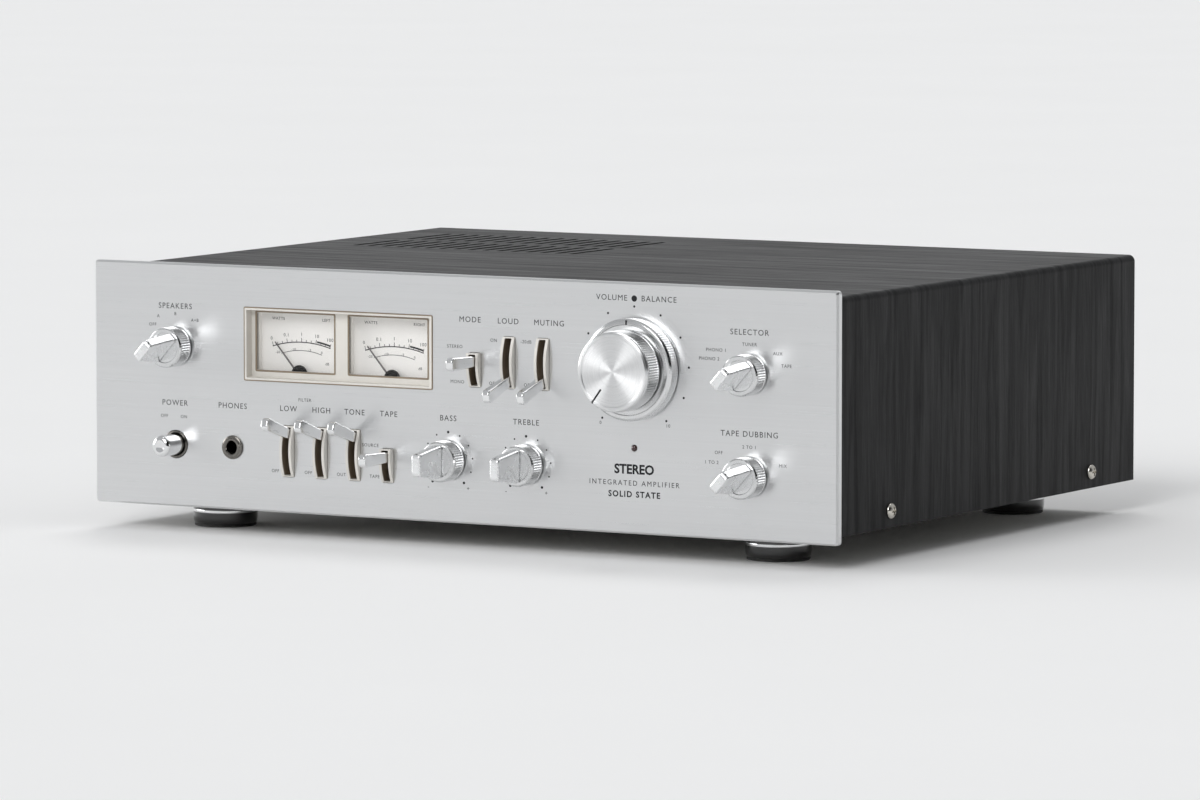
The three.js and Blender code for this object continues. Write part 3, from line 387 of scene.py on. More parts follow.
class Piece:
    """One piece in the making, in millimetres about its own origin."""

    def __init__(self):
        self.bm = bmesh.new()

    def take(self, mesh, place):
        mesh.transform(place)
        self.bm.from_mesh(mesh)
        bpy.data.meshes.remove(mesh)
        return self

    def add(self, bm, place):
        """Takes in and frees a mesh in the making."""
        mesh = bpy.data.meshes.new("part")
        bm.to_mesh(mesh)
        bm.free()
        return self.take(mesh, place)

    def weld(self):
        bmesh.ops.remove_doubles(self.bm, verts=self.bm.verts, dist=1e-4)
        bmesh.ops.recalc_face_normals(self.bm, faces=self.bm.faces)
        return self.bm

    def slab(self, outlines, start, end, plane=FRONT, bevel=0.0, segments=2):
        """A flat outline with holes as a plate, with its edges rounded."""
        curve = put(bpy.data.curves.new("outline", "CURVE"), dimensions="2D", fill_mode="BOTH",
                    extrude=(end - start) / 2 - bevel, bevel_depth=bevel,
                    bevel_resolution=segments, offset=-bevel)
        for points in outlines:
            spline = curve.splines.new("POLY")
            spline.points.add(len(points) - 1)
            for knot, (u, v) in zip(spline.points, points):
                knot.co = (u, v, 0, 1)
            spline.use_cyclic_u = True
        centre = [0, 0, 0]
        centre[AXES[id(plane)][2]] = (start + end) / 2
        return self.take_object(curve, Matrix.Translation(centre) @ plane)

    def words(self, text, size, x, z, y=0.0, align="CENTER", plane=FRONT, thick=2 * INK,
              spacing=1.15, bold=0.0):
        """Lettering, thick millimetres deep about y."""
        curve = put(bpy.data.curves.new("words", "FONT"), body=text, size=size, align_x=align,
                    align_y="CENTER", extrude=thick / 2, offset=bold, resolution_u=3,
                    space_character=spacing)
        return self.take_object(curve, Matrix.Translation((x, y, z)) @ plane)

    def take_object(self, curve, place):
        holder = bpy.data.objects.new("holder", curve)
        mesh = bpy.data.meshes.new_from_object(holder)
        bpy.data.objects.remove(holder)
        bpy.data.curves.remove(curve)
        return self.take(mesh, place)

    def turned(self, profile, about=ABOUT_Y, sides=96, ring=False, flutes=0, depth=0.0,
               place=Matrix()):
        """A profile of (radius, distance) turned round an axis. Points marked True are
        fluted."""
        made = bmesh.new()
        rows = []
        for radius, along, *mark in profile:
            if radius < 1e-6:
                rows.append([made.verts.new((0, 0, along))] * sides)
                continue
            row = []
            for i in range(sides):
                angle = TURN * i / sides
                cut = depth * (0.5 - 0.5 * math.cos(flutes * angle)) if mark else 0.0
                row.append(made.verts.new(((radius - cut) * math.cos(angle),
                                           (radius - cut) * math.sin(angle), along)))
            rows.append(row)
        for low, high in zip(rows, rows[1:] + (rows[:1] if ring else [])):
            for i in range(sides):
                j = (i + 1) % sides
                corners = list(dict.fromkeys((low[i], low[j], high[j], high[i])))
                if len(corners) > 2:
                    made.faces.new(corners)
        return self.add(made, place @ about)

    def box(self, low, high, bevel=0.3, plane=FRONT):
        """A block with rounded edges, from its lowest and highest corners."""
        u, v, w = AXES[id(plane)]
        outline = rectangle((low[u] + high[u]) / 2, (low[v] + high[v]) / 2,
                            high[u] - low[u], high[v] - low[v], bevel)
        return self.slab([outline], low[w], high[w], plane, bevel)

    def carve(self, cutter):
        """Cuts another piece in the making out of this one."""
        holders = []
        for piece in (self, cutter):
            mesh = bpy.data.meshes.new("carved")
            piece.weld().to_mesh(mesh)
            holders.append(new_object("carved", mesh))
        whole, tool = holders
        put(whole.modifiers.new("cut", "BOOLEAN"), operation="DIFFERENCE", solver="EXACT",
            use_self=True, object=tool)
        graph = bpy.context.evaluated_depsgraph_get()
        result = bpy.data.meshes.new_from_object(whole.evaluated_get(graph))
        for holder in holders:
            mesh = holder.data
            bpy.data.objects.remove(holder)
            bpy.data.meshes.remove(mesh)
        self.bm.free()
        cutter.bm.free()
        self.bm = bmesh.new()
        return self.take(result, Matrix())

    def round_edges(self, width, angle=35):
        """Rounds every edge sharper than the angle in degrees."""
        self.weld()
        bmesh.ops.dissolve_limit(self.bm, angle_limit=math.radians(1),
                                 verts=self.bm.verts, edges=self.bm.edges)
        sharp = [e for e in self.bm.edges
                 if e.is_manifold and e.calc_face_angle() > math.radians(angle)]
        bmesh.ops.bevel(self.bm, geom=sharp, offset=width, offset_type="OFFSET",
                        segments=2, profile=0.5, affect="EDGES", clamp_overlap=True)
        return self

    def finish(self, name, look, body="chassis", at=Vector(), turn=None, replaces=(),
               angle=32, slot=None):
        """Makes the object, in place, riding on its body."""
        mesh = bpy.data.meshes.new(name)
        self.weld().to_mesh(mesh)
        self.bm.free()
        mesh.transform(Matrix.Scale(MM, 4) @ (turn or Matrix()))
        mesh.shade_smooth()
        mesh.set_sharp_from_angle(angle=math.radians(angle))
        mesh.materials.append(LOOKS[look].material)
        made = put(new_object(name, mesh), location=at)
        put(made.modifiers.new("flat faces", "WEIGHTED_NORMAL"), keep_sharp=True)
        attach(made, body)
        if replaces:
            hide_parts(*replaces)
        return made


# --- camera and light

VIEW_DIRECTION = (30.78, 5.17)   # the photograph's, from the middle of the panel's face
VIEW_DISTANCE = 4.0153
FRAME_FILL = 0.9                 # share of the picture's width that the amplifier takes

scene = bpy.context.scene


def direction(azimuth, elevation):
    """From the amplifier outwards. Azimuth 0 is straight in front, and 90 to its right."""
    a, e = math.radians(azimuth), math.radians(elevation)
    return Vector((math.sin(a) * math.cos(e), -math.cos(a) * math.cos(e), math.sin(e)))


def set_camera():
    """Looks from the viewing angle, with the whole amplifier in the middle."""
    low, high = (Vector(corner) for corner in cad_box)
    target = (low + high) / 2
    data = bpy.data.cameras.new("camera")
    scene.camera = camera = new_object("camera", data)
    camera.location = FACE + direction(*VIEW_DIRECTION) * VIEW_DISTANCE
    corners = [Vector((x, y, z)) for x in (low.x, high.x) for y in (low.y, high.y)
               for z in (low.z, high.z)]
    for _ in range(3):            # centre the view on what the camera sees of the box
        camera.rotation_euler = (target - camera.location).to_track_quat("-Z", "Y").to_euler()
        turn = camera.rotation_euler.to_matrix()
        seen = [turn.transposed() @ (corner - camera.location) for corner in corners]
        across = [point.x / -point.z for point in seen]
        upward = [point.y / -point.z for point in seen]
        depth = (target - camera.location).length
        target = target + turn @ Vector(((min(across) + max(across)) / 2 * depth,
                                         (min(upward) + max(upward)) / 2 * depth, 0))
    half = (max(across) - min(across)) / 2 / FRAME_FILL
    sensor = 36                  # millimetres
    put(data, sensor_width=sensor, lens=sensor / 2 / half, clip_start=0.1, clip_end=100)


def lamp_from(name, azimuth, elevation, spread, power):
    """Soft light from far away, so that it falls evenly on the floor."""
    data = put(bpy.data.lights.new(name, "SUN"), angle=math.radians(spread), energy=power)
    turn = direction(azimuth, elevation).to_track_quat("Z", "Y").to_euler()
    put(new_object(name, data), rotation_euler=turn)


PALE = (0.819, 0.827, 0.831, 1)  # as bright as the lit floor
STUDIO = (0.97, 0.985, 1, 1)
STUDIO_STRENGTH, FLAG_STRENGTH = 0.47, 0.01
FLAG_DIRECTION = (62, 5)         # a black flag beyond the right side shapes the metal
FLAG_EDGE = (0.5, 0.85)          # cosines from its middle where it begins and is fully black
LAMPS = {                        # azimuth, elevation and spread in degrees, and power
    "overhead": (200, 64, 26, 0.7), "front": (4, 33, 32, 1.35),
    "left wall": (-71, 3, 42, 2.1), "behind": (214, 34, 40, 0.2),
}


def set_light():
    """Lamps and a soft studio. The camera itself sees a plain pale background."""
    scene.world = bpy.data.worlds.new("studio")
    sky = Nodes(scene.world)
    where = sky.node("ShaderNodeTexCoord").outputs["Generated"]
    toward = sky.node("ShaderNodeVectorMath", {0: where, 1: direction(*FLAG_DIRECTION)},
                      operation="DOT_PRODUCT")
    strength = sky.spread(toward.outputs["Value"], STUDIO_STRENGTH, FLAG_STRENGTH, *FLAG_EDGE,
                          interpolation_type="SMOOTHSTEP")
    studio = sky.node("ShaderNodeBackground", {"Color": STUDIO, "Strength": strength})
    plain = sky.tree.nodes["Background"]
    sky.feed(plain, {"Color": PALE})
    seen = sky.node("ShaderNodeLightPath").outputs["Is Camera Ray"]
    mixed = sky.node("ShaderNodeMixShader", {0: seen, 1: studio.outputs[0],
                                             2: plain.outputs[0]})
    sky.feed(sky.tree.nodes["World Output"], {"Surface": mixed.outputs[0]})
    for name, lamp in LAMPS.items():
        lamp_from(name, *lamp)
    scene.view_settings.view_transform = "Standard"


def lay_floor():
    floor = Look("floor", (0.88, 0.88, 0.88), 0.9, Specular_IOR_Level=0)
    floor.tint(floor.noise((260, 260, 260)), (0.3, (0.875, 0.875, 0.875)),
               (0.7, (0.885, 0.885, 0.885)))
    mesh = bpy.data.meshes.new("floor")
    metres = 120
    mesh.from_pydata([(x, y, 0) for x, y in rectangle(0, 0, metres, metres)], [],
                     [(0, 1, 2, 3)])
    mesh.materials.append(floor.material)
    ground = new_object("floor", mesh)


set_camera()
set_light()
lay_floor()

# --- CAD nodes that show

CAD_LOOKS = {
    "panel": ["front_panel"], "window": ["meter_window"], "rear": ["rear_panel"],
    "dial": ["meter_left", "meter_right"], "needle": ["needle_left", "needle_right"],
    "zinc": ["front_subpanel", "chassis_tray", "volume_pot", "bass_pot", "treble_pot",
             "speakers_switch", "selector_switch", "dubbing_switch"],
    "black": ["power_switch", "switch_bank_upper", "switch_bank_lower"],
    "sleeve": ["filter_capacitor_left", "filter_capacitor_right"],
    "board": ["power_board", "preamp_board"], "core": ["transformer"],
    "anodised": ["heatsink"],
}
for look, nodes in CAD_LOOKS.items():
    for node in nodes:
        mesh = frame["nodes"][node].data
        mesh.materials.clear()
        mesh.materials.append(LOOKS[look].material)

# --- knobs

KNOB_RADIUS = 10.5
KNOB_LIFT = 0.8                  # gap between a knob and the panel
KNOB_SKIRT = 11                  # how far the skirt's face stands out
GRIP_REACH = 32.5
GRIP_THICK = 5.4
GRIP_TURNS = {"speakers": 42, "bass": 0, "treble": 0, "selector": 42, "dubbing": 42}


def small_knob(body):
    """A fluted skirt with a slim blade grip across it."""
    turn = Matrix.Rotation(math.radians(GRIP_TURNS[body]), 4, "Y")
    at = on_face(PIVOTS[body])
    rim, base, face = KNOB_RADIUS, -KNOB_LIFT, -KNOB_SKIRT
    skirt = Piece().turned([
        (0, base), (rim - 0.9, base), (rim - 0.5, base - 0.1), (rim - 0.2, base - 0.4),
        (rim - 0.2, -2.2), (rim, -2.5, True), (rim, face + 1.2, True), (rim - 0.25, face + 0.75),
        (rim - 0.9, face), (rim - 2.6, face), (rim - 2.9, face + 0.35), (0, face + 0.35)],
        sides=288, flutes=48, depth=0.6)
    skirt.finish(f"{body}_knob_skirt", "bright", body, at, turn, [f"{body}_knob"])
    root, tip = 8.6, 5.6
    blade = soften([(face + 0.2, -root), (face + 0.2, root), (-GRIP_REACH, tip),
                    (-GRIP_REACH, -tip)], 2.2, steps=6)
    grip = Piece().slab([blade], -GRIP_THICK / 2, GRIP_THICK / 2, SIDE, 1.1, 4)
    grip.finish(f"{body}_knob_grip", "satin", body, at, turn)
    line = Piece().box((-0.45, 0.9 - GRIP_REACH, tip - 1.0),
                       (0.45, 8 - GRIP_REACH, tip + 0.18), 0.08)
    line.finish(f"{body}_knob_line", "ink", body, at, turn, slot="spun")


for body in GRIP_TURNS:
    small_knob(body)

VOLUME_RADIUS = 20.5
VOLUME_FACE = 23                 # how far the knob's face stands out
RING_RADIUS = 26
RING_FACE = 8.4
VOLUME_INDEX = 216               # degrees clockwise from upright, at the lowest volume


def volume_knob():
    """A turned cap with a fluted side, and the index line let into its face."""
    at = on_face(PIVOTS["volume"])
    turn = Matrix.Rotation(math.radians(VOLUME_INDEX), 4, "Y")
    rim, base, face = VOLUME_RADIUS, -RING_FACE, -VOLUME_FACE
    knob = Piece().turned([
        (0, base - 0.9), (rim - 1.4, base - 0.9), (rim - 0.6, base - 1.2), (rim - 0.5, base - 2.4),
        (rim, base - 2.8, True), (rim, face + 2.6, True), (rim - 0.3, face + 2.1),
        (rim - 0.3, face + 1.3), (rim - 0.75, face + 0.5), (rim - 1.5, face), (rim - 2.6, face),
        (rim - 2.9, face + 0.25), (rim - 3.3, face + 0.3), (0, face + 0.42)],
        sides=576, flutes=96, depth=0.55)
    knob.carve(Piece().box((-0.5, face - 1, rim - 9.5), (0.5, face + 0.95, rim + 1), 0.1))
    knob.finish("volume_knob_cap", "spun", "volume", at, turn, ["volume_knob"], angle=24)
    index = Piece().box((-0.42, face + 0.7, rim - 9.4), (0.42, face + 1.1, rim - 0.5), 0.05)
    index.finish("volume_knob_index", "ink", "volume", at, turn, slot="spun")


def balance_ring():
    """The fluted ring round the foot of the volume knob."""
    at = on_face(PIVOTS["balance"])
    rim, base, face = RING_RADIUS, -KNOB_LIFT, -RING_FACE
    bore = VOLUME_RADIUS - 3
    ring = Piece().turned([
        (bore, base), (rim - 0.8, base), (rim - 0.2, base - 0.3), (rim, base - 0.8),
        (rim, -4.2, True), (rim, face + 1.9, True), (rim - 0.3, face + 1.2),
        (rim - 1.2, face + 0.3), (rim - 2, face), (rim - 3, face), (rim - 3.3, face + 0.3),
        (bore, face + 0.3)], sides=720, ring=True, flutes=120, depth=0.35)
    ring.finish("balance_ring_rim", "bright", "balance", at, replaces=["balance_ring"], angle=24)
    mark = Piece().box((-0.45, face - 0.05, rim - 3.2), (0.45, face + 0.2, rim - 0.9), 0.05)
    mark.finish("balance_ring_mark", "ink", "balance", at, slot="spun")


volume_knob()
balance_ring()

# --- levers and their bezels

LEVERS = {    # each row's levers, and how many degrees down from straight out they rest
    "upper": {"mode": 0, "loudness": 18, "muting": 18},
    "lower": {"low_filter": -18, "high_filter": -18, "tone": -18, "monitor": 0},
}
PIVOT_DEPTH = (PIVOTS["mode"].y - PANEL_LOW.y) / MM
RIDGE_ARC = 30                   # radius of a ridge about the levers' pivots
RIDGE_WIDTH = 7
SLIT_WIDTH = 4
SLOT_HALF = 13.5                 # half the height of a long slot
SHORT_SLOT_TOP = 4.5             # how far the slot of a lever at 0 reaches over its pivot


def lever(body, rest):
    """A blade with a rounded tip, on a short shaft across its pivot."""
    turn = Matrix.Rotation(math.radians(rest), 4, "X")
    handle = soften([(-31.2, -2.8), (-31.2, 2.8), (-51.1, 3.4), (-52.7, 1.8), (-52.7, -1.8),
                     (-51.1, -3.4)], 0.9)
    made = Piece().slab([handle], -2.1, 2.1, SIDE, 0.8, 3)
    made.slab([[(4, -2.5), (4, 2.5), (-32.2, 2.5), (-32.2, -2.5)]], -1.7, 1.7, SIDE, 0.3)
    made.turned([(0, -3.8), (1.4, -3.8), (1.4, 3.8), (0, 3.8)], ABOUT_X, 32)
    made.finish(f"lever_{body}_blade", "polished", body, PIVOTS[body], turn, [f"lever_{body}"])


def bezel(row, levers):
    """A strip behind the panel with a D-shaped, slit ridge round each lever, and thin darker
    sheets on each slit's walls as painted shade.
    """
    strip_front, strip_back = 5.3, 7.7
    pivots = [PIVOTS[body] for body in levers]
    xs = [pivot.x / MM for pivot in pivots]
    z = (pivots[0].z - PANEL_MIDDLE.z) / MM
    whole, slits, slit_shade_sheets = Piece(), Piece(), Piece()
    whole.slab([rectangle((xs[0] + xs[-1]) / 2, z, xs[-1] - xs[0] + 18, 2 * SLOT_HALF + 6, 2)],
               strip_front, strip_back)
    for rest, x in zip(levers.values(), xs):
        top = (SLOT_HALF if rest else SHORT_SLOT_TOP) - 0.3
        low = 0.3 - SLOT_HALF
        start = 180 - math.degrees(math.asin(top / RIDGE_ARC))
        end = 180 - math.degrees(math.asin(low / RIDGE_ARC))
        dome = [(6, z + top), *arc(PIVOT_DEPTH, z, RIDGE_ARC, start, end), (6, z + low)]
        whole.slab([dome], x - RIDGE_WIDTH / 2, x + RIDGE_WIDTH / 2, SIDE)
        half = SLIT_WIDTH / 2
        # Thin darker bronze sheets down both walls of each slit: painted shade inside the slit.
        shade_sheet_outline = [(7, z + top - 0.75), *arc(PIVOT_DEPTH, z, RIDGE_ARC - 0.35, start, end)[1:-1],
                (7, z + low + 0.75)]
        for side in (-1, 1):
            wall = x + side * (half - 0.07)
            slit_shade_sheets.slab([shade_sheet_outline], wall - 0.05, wall + 0.05, SIDE)
        slits.slab([rectangle(x, z + (top + low) / 2, 2 * half, top - low - 1.4, 0.5)], -9, 12)
    whole.carve(slits).round_edges(0.28)
    whole.finish(f"lever_bezel_{row}_trim", "champagne", at=FACE,
                 replaces=[f"lever_bezel_{row}"])
    # The darker sheets in the slits, as painted shade.
    slit_shade_sheets.finish(f"lever_bezel_{row}_lining", "bronze", at=FACE)


for levers in LEVERS.values():
    for body, rest in levers.items():
        lever(body, rest)
for row, levers in LEVERS.items():
    bezel(row, levers)

# --- meters

OPENING = (-71, 23.25, 114, 38.5)  # middle x and z, width and height
WINDOW_Z = 24.5
WINDOW_WIDTH, WINDOW_HEIGHT = 47, 30
METER_XS = {side: PIVOTS[f"needle_{side}"].x / MM for side in ("left", "right")}
DIAL_FACE = 10.8                 # how deep the dials lie behind the panel's face
SCALE_RADIUS = 60
SCALE_TOP = 24.3                 # height of the main arc's top over the panel's middle
SCALE_SWING = 16.6               # degrees from upright to either end of the divisions
OVER_SCALE, UNDER_SCALE = 64, 56.2   # radii on which the upper and lower figures stand


def meter_frame():
    """A champagne frame with a window for each dial, edged with a thin dark line of painted shade.
    """
    x, z, width, height = OPENING
    gap, wall, recess, face = 0.3, 1.5, 5, 1.6
    holes = [rectangle(at, WINDOW_Z, WINDOW_WIDTH, WINDOW_HEIGHT, 0.6)
             for at in METER_XS.values()]

    def opening(inset, radius):
        return rectangle(x, z, width - 2 * inset, height - 2 * inset, radius)

    trim = Piece()
    trim.slab([opening(-3.5, 2), *holes], recess + 0.3, recess + face, bevel=0.12)
    trim.slab([opening(gap + 0.5, 0.5), *holes], recess - 0.35, recess + face - 0.2, bevel=0.35)
    trim.slab([opening(gap, 0.8), opening(gap + wall, 0.5)], -0.25, recess + 0.4, bevel=0.4)
    trim.finish("meter_frame_trim", "champagne", at=FACE, replaces=["meter_frame"])
    # Darker bronze lines round each window and round the opening: painted shade on these edges.
    edging = Piece()
    for at, hole in zip(METER_XS.values(), holes):
        edging.slab([rectangle(at, WINDOW_Z, WINDOW_WIDTH + 1.6, WINDOW_HEIGHT + 1.6, 0.9), hole],
                    recess - 0.6, recess + 0.3, bevel=0.15)
    edging.slab([opening(0.1, 0.9), opening(0.7, 0.6)], -0.32, 0.4, bevel=0.12)
    edging.finish("meter_frame_edging", "bronze", at=FACE)


def dial_print(side):
    """The arc, divisions and figures of one dial."""
    x = METER_XS[side]
    y0, y1 = DIAL_FACE - 0.06, DIAL_FACE - 0.01
    lines = Piece()
    for radius, top, start, end, thick in (
            (SCALE_RADIUS, SCALE_TOP, -17, 17, 0.5), (SCALE_RADIUS, SCALE_TOP + 1.2, 9, 17, 0.9),
            (40, SCALE_TOP - 4.3, -18, 18, 0.28)):
        outer = arc(x, top - radius, radius + thick / 2, 90 - start, 90 - end, 32)
        inner = arc(x, top - radius, radius - thick / 2, 90 - end, 90 - start, 32)
        lines.slab([outer + inner], y0, y1)
    middle_z = SCALE_TOP - SCALE_RADIUS
    divisions = 12
    for i in range(divisions + 1):
        angle = math.radians(-SCALE_SWING + 2 * SCALE_SWING * i / divisions)
        tall = 2.2 if i % 3 == 0 else 1.3
        mark = rectangle(0, SCALE_RADIUS + tall / 2, 0.3, tall)
        turned = [(x + u * math.cos(angle) + v * math.sin(angle),
                   middle_z + v * math.cos(angle) - u * math.sin(angle)) for u, v in mark]
        lines.slab([turned], y0, y1)
    watts = ("0", -SCALE_SWING), ("0.1", -8.3), ("1", 0), ("10", 8.3), ("100", 15.6)
    decibels = ("-20", -15), ("-10", -5), ("-3", 5), ("0", 12.5)
    labels = [(text, size, *clockwise(x, middle_z, radius, angle))
              for size, radius, figures in ((2.5, OVER_SCALE, watts), (1.9, UNDER_SCALE, decibels))
              for text, angle in figures]
    labels += [("WATTS", 2.1, x - 14, WINDOW_Z + 11.6),
               (side.upper(), 2.1, x + 15, WINDOW_Z + 11.6), ("dB", 2.0, x + 15.5, WINDOW_Z - 11)]
    for label in labels:
        lines.words(*label, y1, thick=0.06)
    lines.finish(f"meter_{side}_print", "ink", at=FACE, slot="dial")


def hub_cover(side):
    """The black cap over the needle's pivot."""
    x = METER_XS[side]
    outline = [(x - 4.7, 2.0), (x + 4.7, 2.0), *arc(x, 7.9, 4.7, 0, 180, 28)]
    cover = Piece().slab([outline], 8.0, 9.05, bevel=0.3)
    cover.finish(f"meter_{side}_hub", "matte", at=FACE)


meter_frame()
for side in METER_XS:
    dial_print(side)
    hub_cover(side)

# --- power, phones, lamp


def power_button():
    """A chrome cap in its dark collar."""
    at = on_face(middle("power_button"))
    radius, reach = 5.5, 15.5
    cap = Piece().turned([
        (0, 24), (2, 24), (2, 6), (radius, 6), (radius, 2.2 - reach), (radius - 0.25, 1.2 - reach),
        (radius - 0.8, 0.5 - reach), (radius - 1.6, 0.1 - reach), (radius - 2.4, -reach),
        (radius - 3.2, 0.2 - reach), (0, 0.5 - reach)], sides=80)
    cap.finish("power_button_cap", "chrome", "power", at, replaces=["power_button"])
    collar = Piece().turned([
        (5.9, 6.5), (5.9, -0.2), (6.15, -0.6), (6.5, -0.8), (6.9, -0.8), (7.15, -0.5), (7.2, -0.1),
        (7.2, 6.5)], sides=80, ring=True)
    collar.finish("power_bezel_collar", "gunmetal", at=on_face(middle("power_bezel")),
                  replaces=["power_bezel"])


def phones_socket():
    """A threaded bush with its nut, and the socket's body behind it."""
    at = on_face(middle("phones_jack"))
    nut = Piece().turned([
        (3.3, 30), (3.3, -1.2), (3.7, -1.7), (4.3, -1.8), (4.9, -1.7), (5.2, -1.3), (5.6, -1.25),
        (6.0, -1.05), (6.2, -0.6), (6.2, -0.3), (4.8, -0.3), (4.8, 10), (6, 10), (6, 30)],
        sides=80, ring=True)
    nut.finish("phones_jack_bush", "gunmetal", at=at, replaces=["phones_jack"])
    body = Piece().box((-8, 10, -8), (8, 38, 8), 0.6, SIDE)
    body.carve(Piece().turned([
        (0, 5), (6.1, 5), (6.1, 31), (3.2, 31), (3.2, 35), (0, 35)], sides=48))
    body.finish("phones_jack_body", "black", at=at)
    tip = Piece().turned([(0, 34.6), (3.1, 34.6), (3.1, 33.2), (0, 33.2)], sides=32)
    tip.finish("phones_jack_contact", "nickel", at=at)


def lamp():
    """A small domed lens."""
    lens = Piece().turned([
        (0, 13), (1.6, 13), (1.6, 0), (1.5, -0.35), (1.2, -0.72), (0.75, -0.97), (0, -1.1)],
        sides=48)
    lens.finish("power_lamp_lens", "lamp", at=on_face(middle("power_lamp")),
                replaces=["power_lamp"])


power_button()
phones_socket()
lamp()

# --- words on the panel

UPPER_ROW, LOWER_ROW = 20, -31.5
VOLUME_X, BASS_X, TREBLE_X = (
    round(PIVOTS[body].x / MM, 3) for body in ("volume", "bass", "treble"))
SCALE_DOT = 31.5                 # from the volume knob's axis to its scale
TONE_DOT = 14.5                  # the same for bass and treble
CAPS = 4.1                       # type size of the headings
SMALL = 2.4                      # type size of the positions beside a control


def panel_print():
    """Headings, positions and scales, at their places about the panel's middle."""
    out = Piece()
    heads = [
        ("SPEAKERS", -170, 41), ("POWER", -170.5, -9.5), ("PHONES", -135, -9.5),
        ("MODE", 8, 41), ("LOUD", 30.5, 41), ("MUTING", 54.5, 41),
        ("LOW", -101, -9.5), ("HIGH", -81, -9.5), ("TONE", -61, -9.5), ("TAPE", -40.5, -9.5),
        ("BASS", -5, -10), ("TREBLE", 41, -10), ("SELECTOR", 170, 41),
        ("TAPE DUBBING", 170, -10),
    ]
    for text, x, z in heads:
        out.words(text, CAPS, x, z, spacing=1.2)
    out.words("VOLUME", CAPS, 100, 55.5, align="RIGHT", spacing=1.2)
    out.words("BALANCE", CAPS, 108, 55.5, align="LEFT", spacing=1.2)
    out.slab([circle(VOLUME_X, 55.5, 1.6)], -INK, INK)
    notes = [
        ("OFF", -184, 31), ("A", -180.5, 35.5), ("B", -170, 37), ("A+B", -158, 34),
        ("OFF", -177, -16.5), ("ON", -165, -16.5),
        ("STEREO", -1, 27), ("MONO", 0.5, 9), ("ON", 22, 31), ("OFF", 21.5, 9),
        ("-20dB", 41, 31), ("OFF", 42, 9),
        ("FILTER", -91, -4.6), ("ON", -108.5, -22), ("OFF", -109, -42),
        ("ON", -88.5, -22), ("OFF", -89, -42), ("IN", -68, -22), ("OUT", -69, -42),
        ("SOURCE", -51.5, -26), ("TAPE", -49, -42),
        ("PHONO 2", 147, 27), ("PHONO 1", 151, 31.5), ("TUNER", 170, 35),
        ("AUX", 186, 31), ("TAPE", 191, 25),
        ("1 TO 2", 148.5, -25), ("OFF", 152.5, -20), ("2 TO 1", 170, -16.5), ("MIX", 189, -25),
        ("0", 84.5, -8), ("10", 123.5, -8),
    ]
    for text, x, z in notes:
        out.words(text, SMALL, x, z)
    for x in (BASS_X, TREBLE_X):
        for i in range(11):
            at = clockwise(x, LOWER_ROW, TONE_DOT, -140 + 28 * i)
            out.slab([circle(*at, 0.45 if i % 5 else 0.7, 20)], -INK, INK)
        out.words("-", 3.2, x - 11.8, LOWER_ROW - 14)
        out.words("+", 3.2, x + 11.8, LOWER_ROW - 14)
    for i in range(11):
        at = clockwise(VOLUME_X, UPPER_ROW, SCALE_DOT, VOLUME_INDEX + 28.8 * i)
        out.slab([circle(*at, 0.6, 20)], -INK, INK)
    out.words("STEREO", 6.6, VOLUME_X, -31, spacing=1.0, bold=0.22)
    out.words("INTEGRATED AMPLIFIER", 3.7, VOLUME_X, -37.9, spacing=1.35)
    out.words("SOLID STATE", 4.2, VOLUME_X, -43.6, spacing=1.25, bold=0.13)
    out.finish("panel_print", "ink", at=FACE)


panel_print()

# --- case, feet and screws

CASE_LOW, CASE_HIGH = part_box("case_cover")
SHEET = 1.2
BEND = 3.5
VENT_X, VENT_Y = -115, 250
VENT_WIDTH, VENT_LENGTH, VENT_PITCH, VENT_ACROSS = 3.4, 46, 9, 16
SCREW_YS = (62, 290)
SCREW_Z = 25


def case_cover():
    """One sheet bent over both sides, with slots over the heatsink."""
    half, top, low = CASE_HIGH.x / MM, CASE_HIGH.z / MM, CASE_LOW.z / MM
    front, back = ((corner.y - PANEL_LOW.y) / MM for corner in (CASE_LOW, CASE_HIGH))
    inner, under, bend = half - SHEET, top - SHEET, BEND - SHEET
    outline = [(half, low), *arc(half - BEND, top - BEND, BEND, 0, 90, 10),
               *arc(BEND - half, top - BEND, BEND, 90, 180, 10), (-half, low), (-inner, low),
               *arc(bend - inner, under - bend, bend, 180, 90, 10),
               *arc(inner - bend, under - bend, bend, 90, 0, 10), (inner, low)]
    cover = Piece().slab([outline], front, back)
    cuts = Piece()
    for row in (-0.5, 0.5):
        for i in range(VENT_ACROSS):
            x = VENT_X + (i - (VENT_ACROSS - 1) / 2) * VENT_PITCH
            slot = rectangle(x, VENT_Y + row * (VENT_LENGTH + 10), VENT_WIDTH, VENT_LENGTH, 1.69)
            cuts.slab([slot], top - 6, top + 6, TOP)
    for y in SCREW_YS:
        cuts.slab([circle(y, SCREW_Z, 2.2, 32)], -half - 6, half + 6, SIDE)
    cover.carve(cuts).round_edges(0.22, angle=50)
    cover.finish("case_cover_shell", "vinyl", at=Vector((0, PANEL_LOW.y, 0)),
                 replaces=["case_cover"])


def screw_head(made, radius, height, about, place):
    """A domed head with a cross recess."""
    head = Piece().turned([
        (0, height), (radius * 0.35, height * 0.97), (radius * 0.7, height * 0.78),
        (radius * 0.93, height * 0.45), (radius, height * 0.15), (radius, 0), (0, 0)],
        ABOUT_Z, 48)
    cross = Piece()
    arm, slot = radius * 0.55, radius * 0.16
    cross.box((-arm, -slot, height * 0.35), (arm, slot, height * 2), 0.05, TOP)
    cross.box((-slot, -arm, height * 0.35), (slot, arm, height * 2), 0.05, TOP)
    head.carve(cross)
    made.add(head.bm, place @ about)


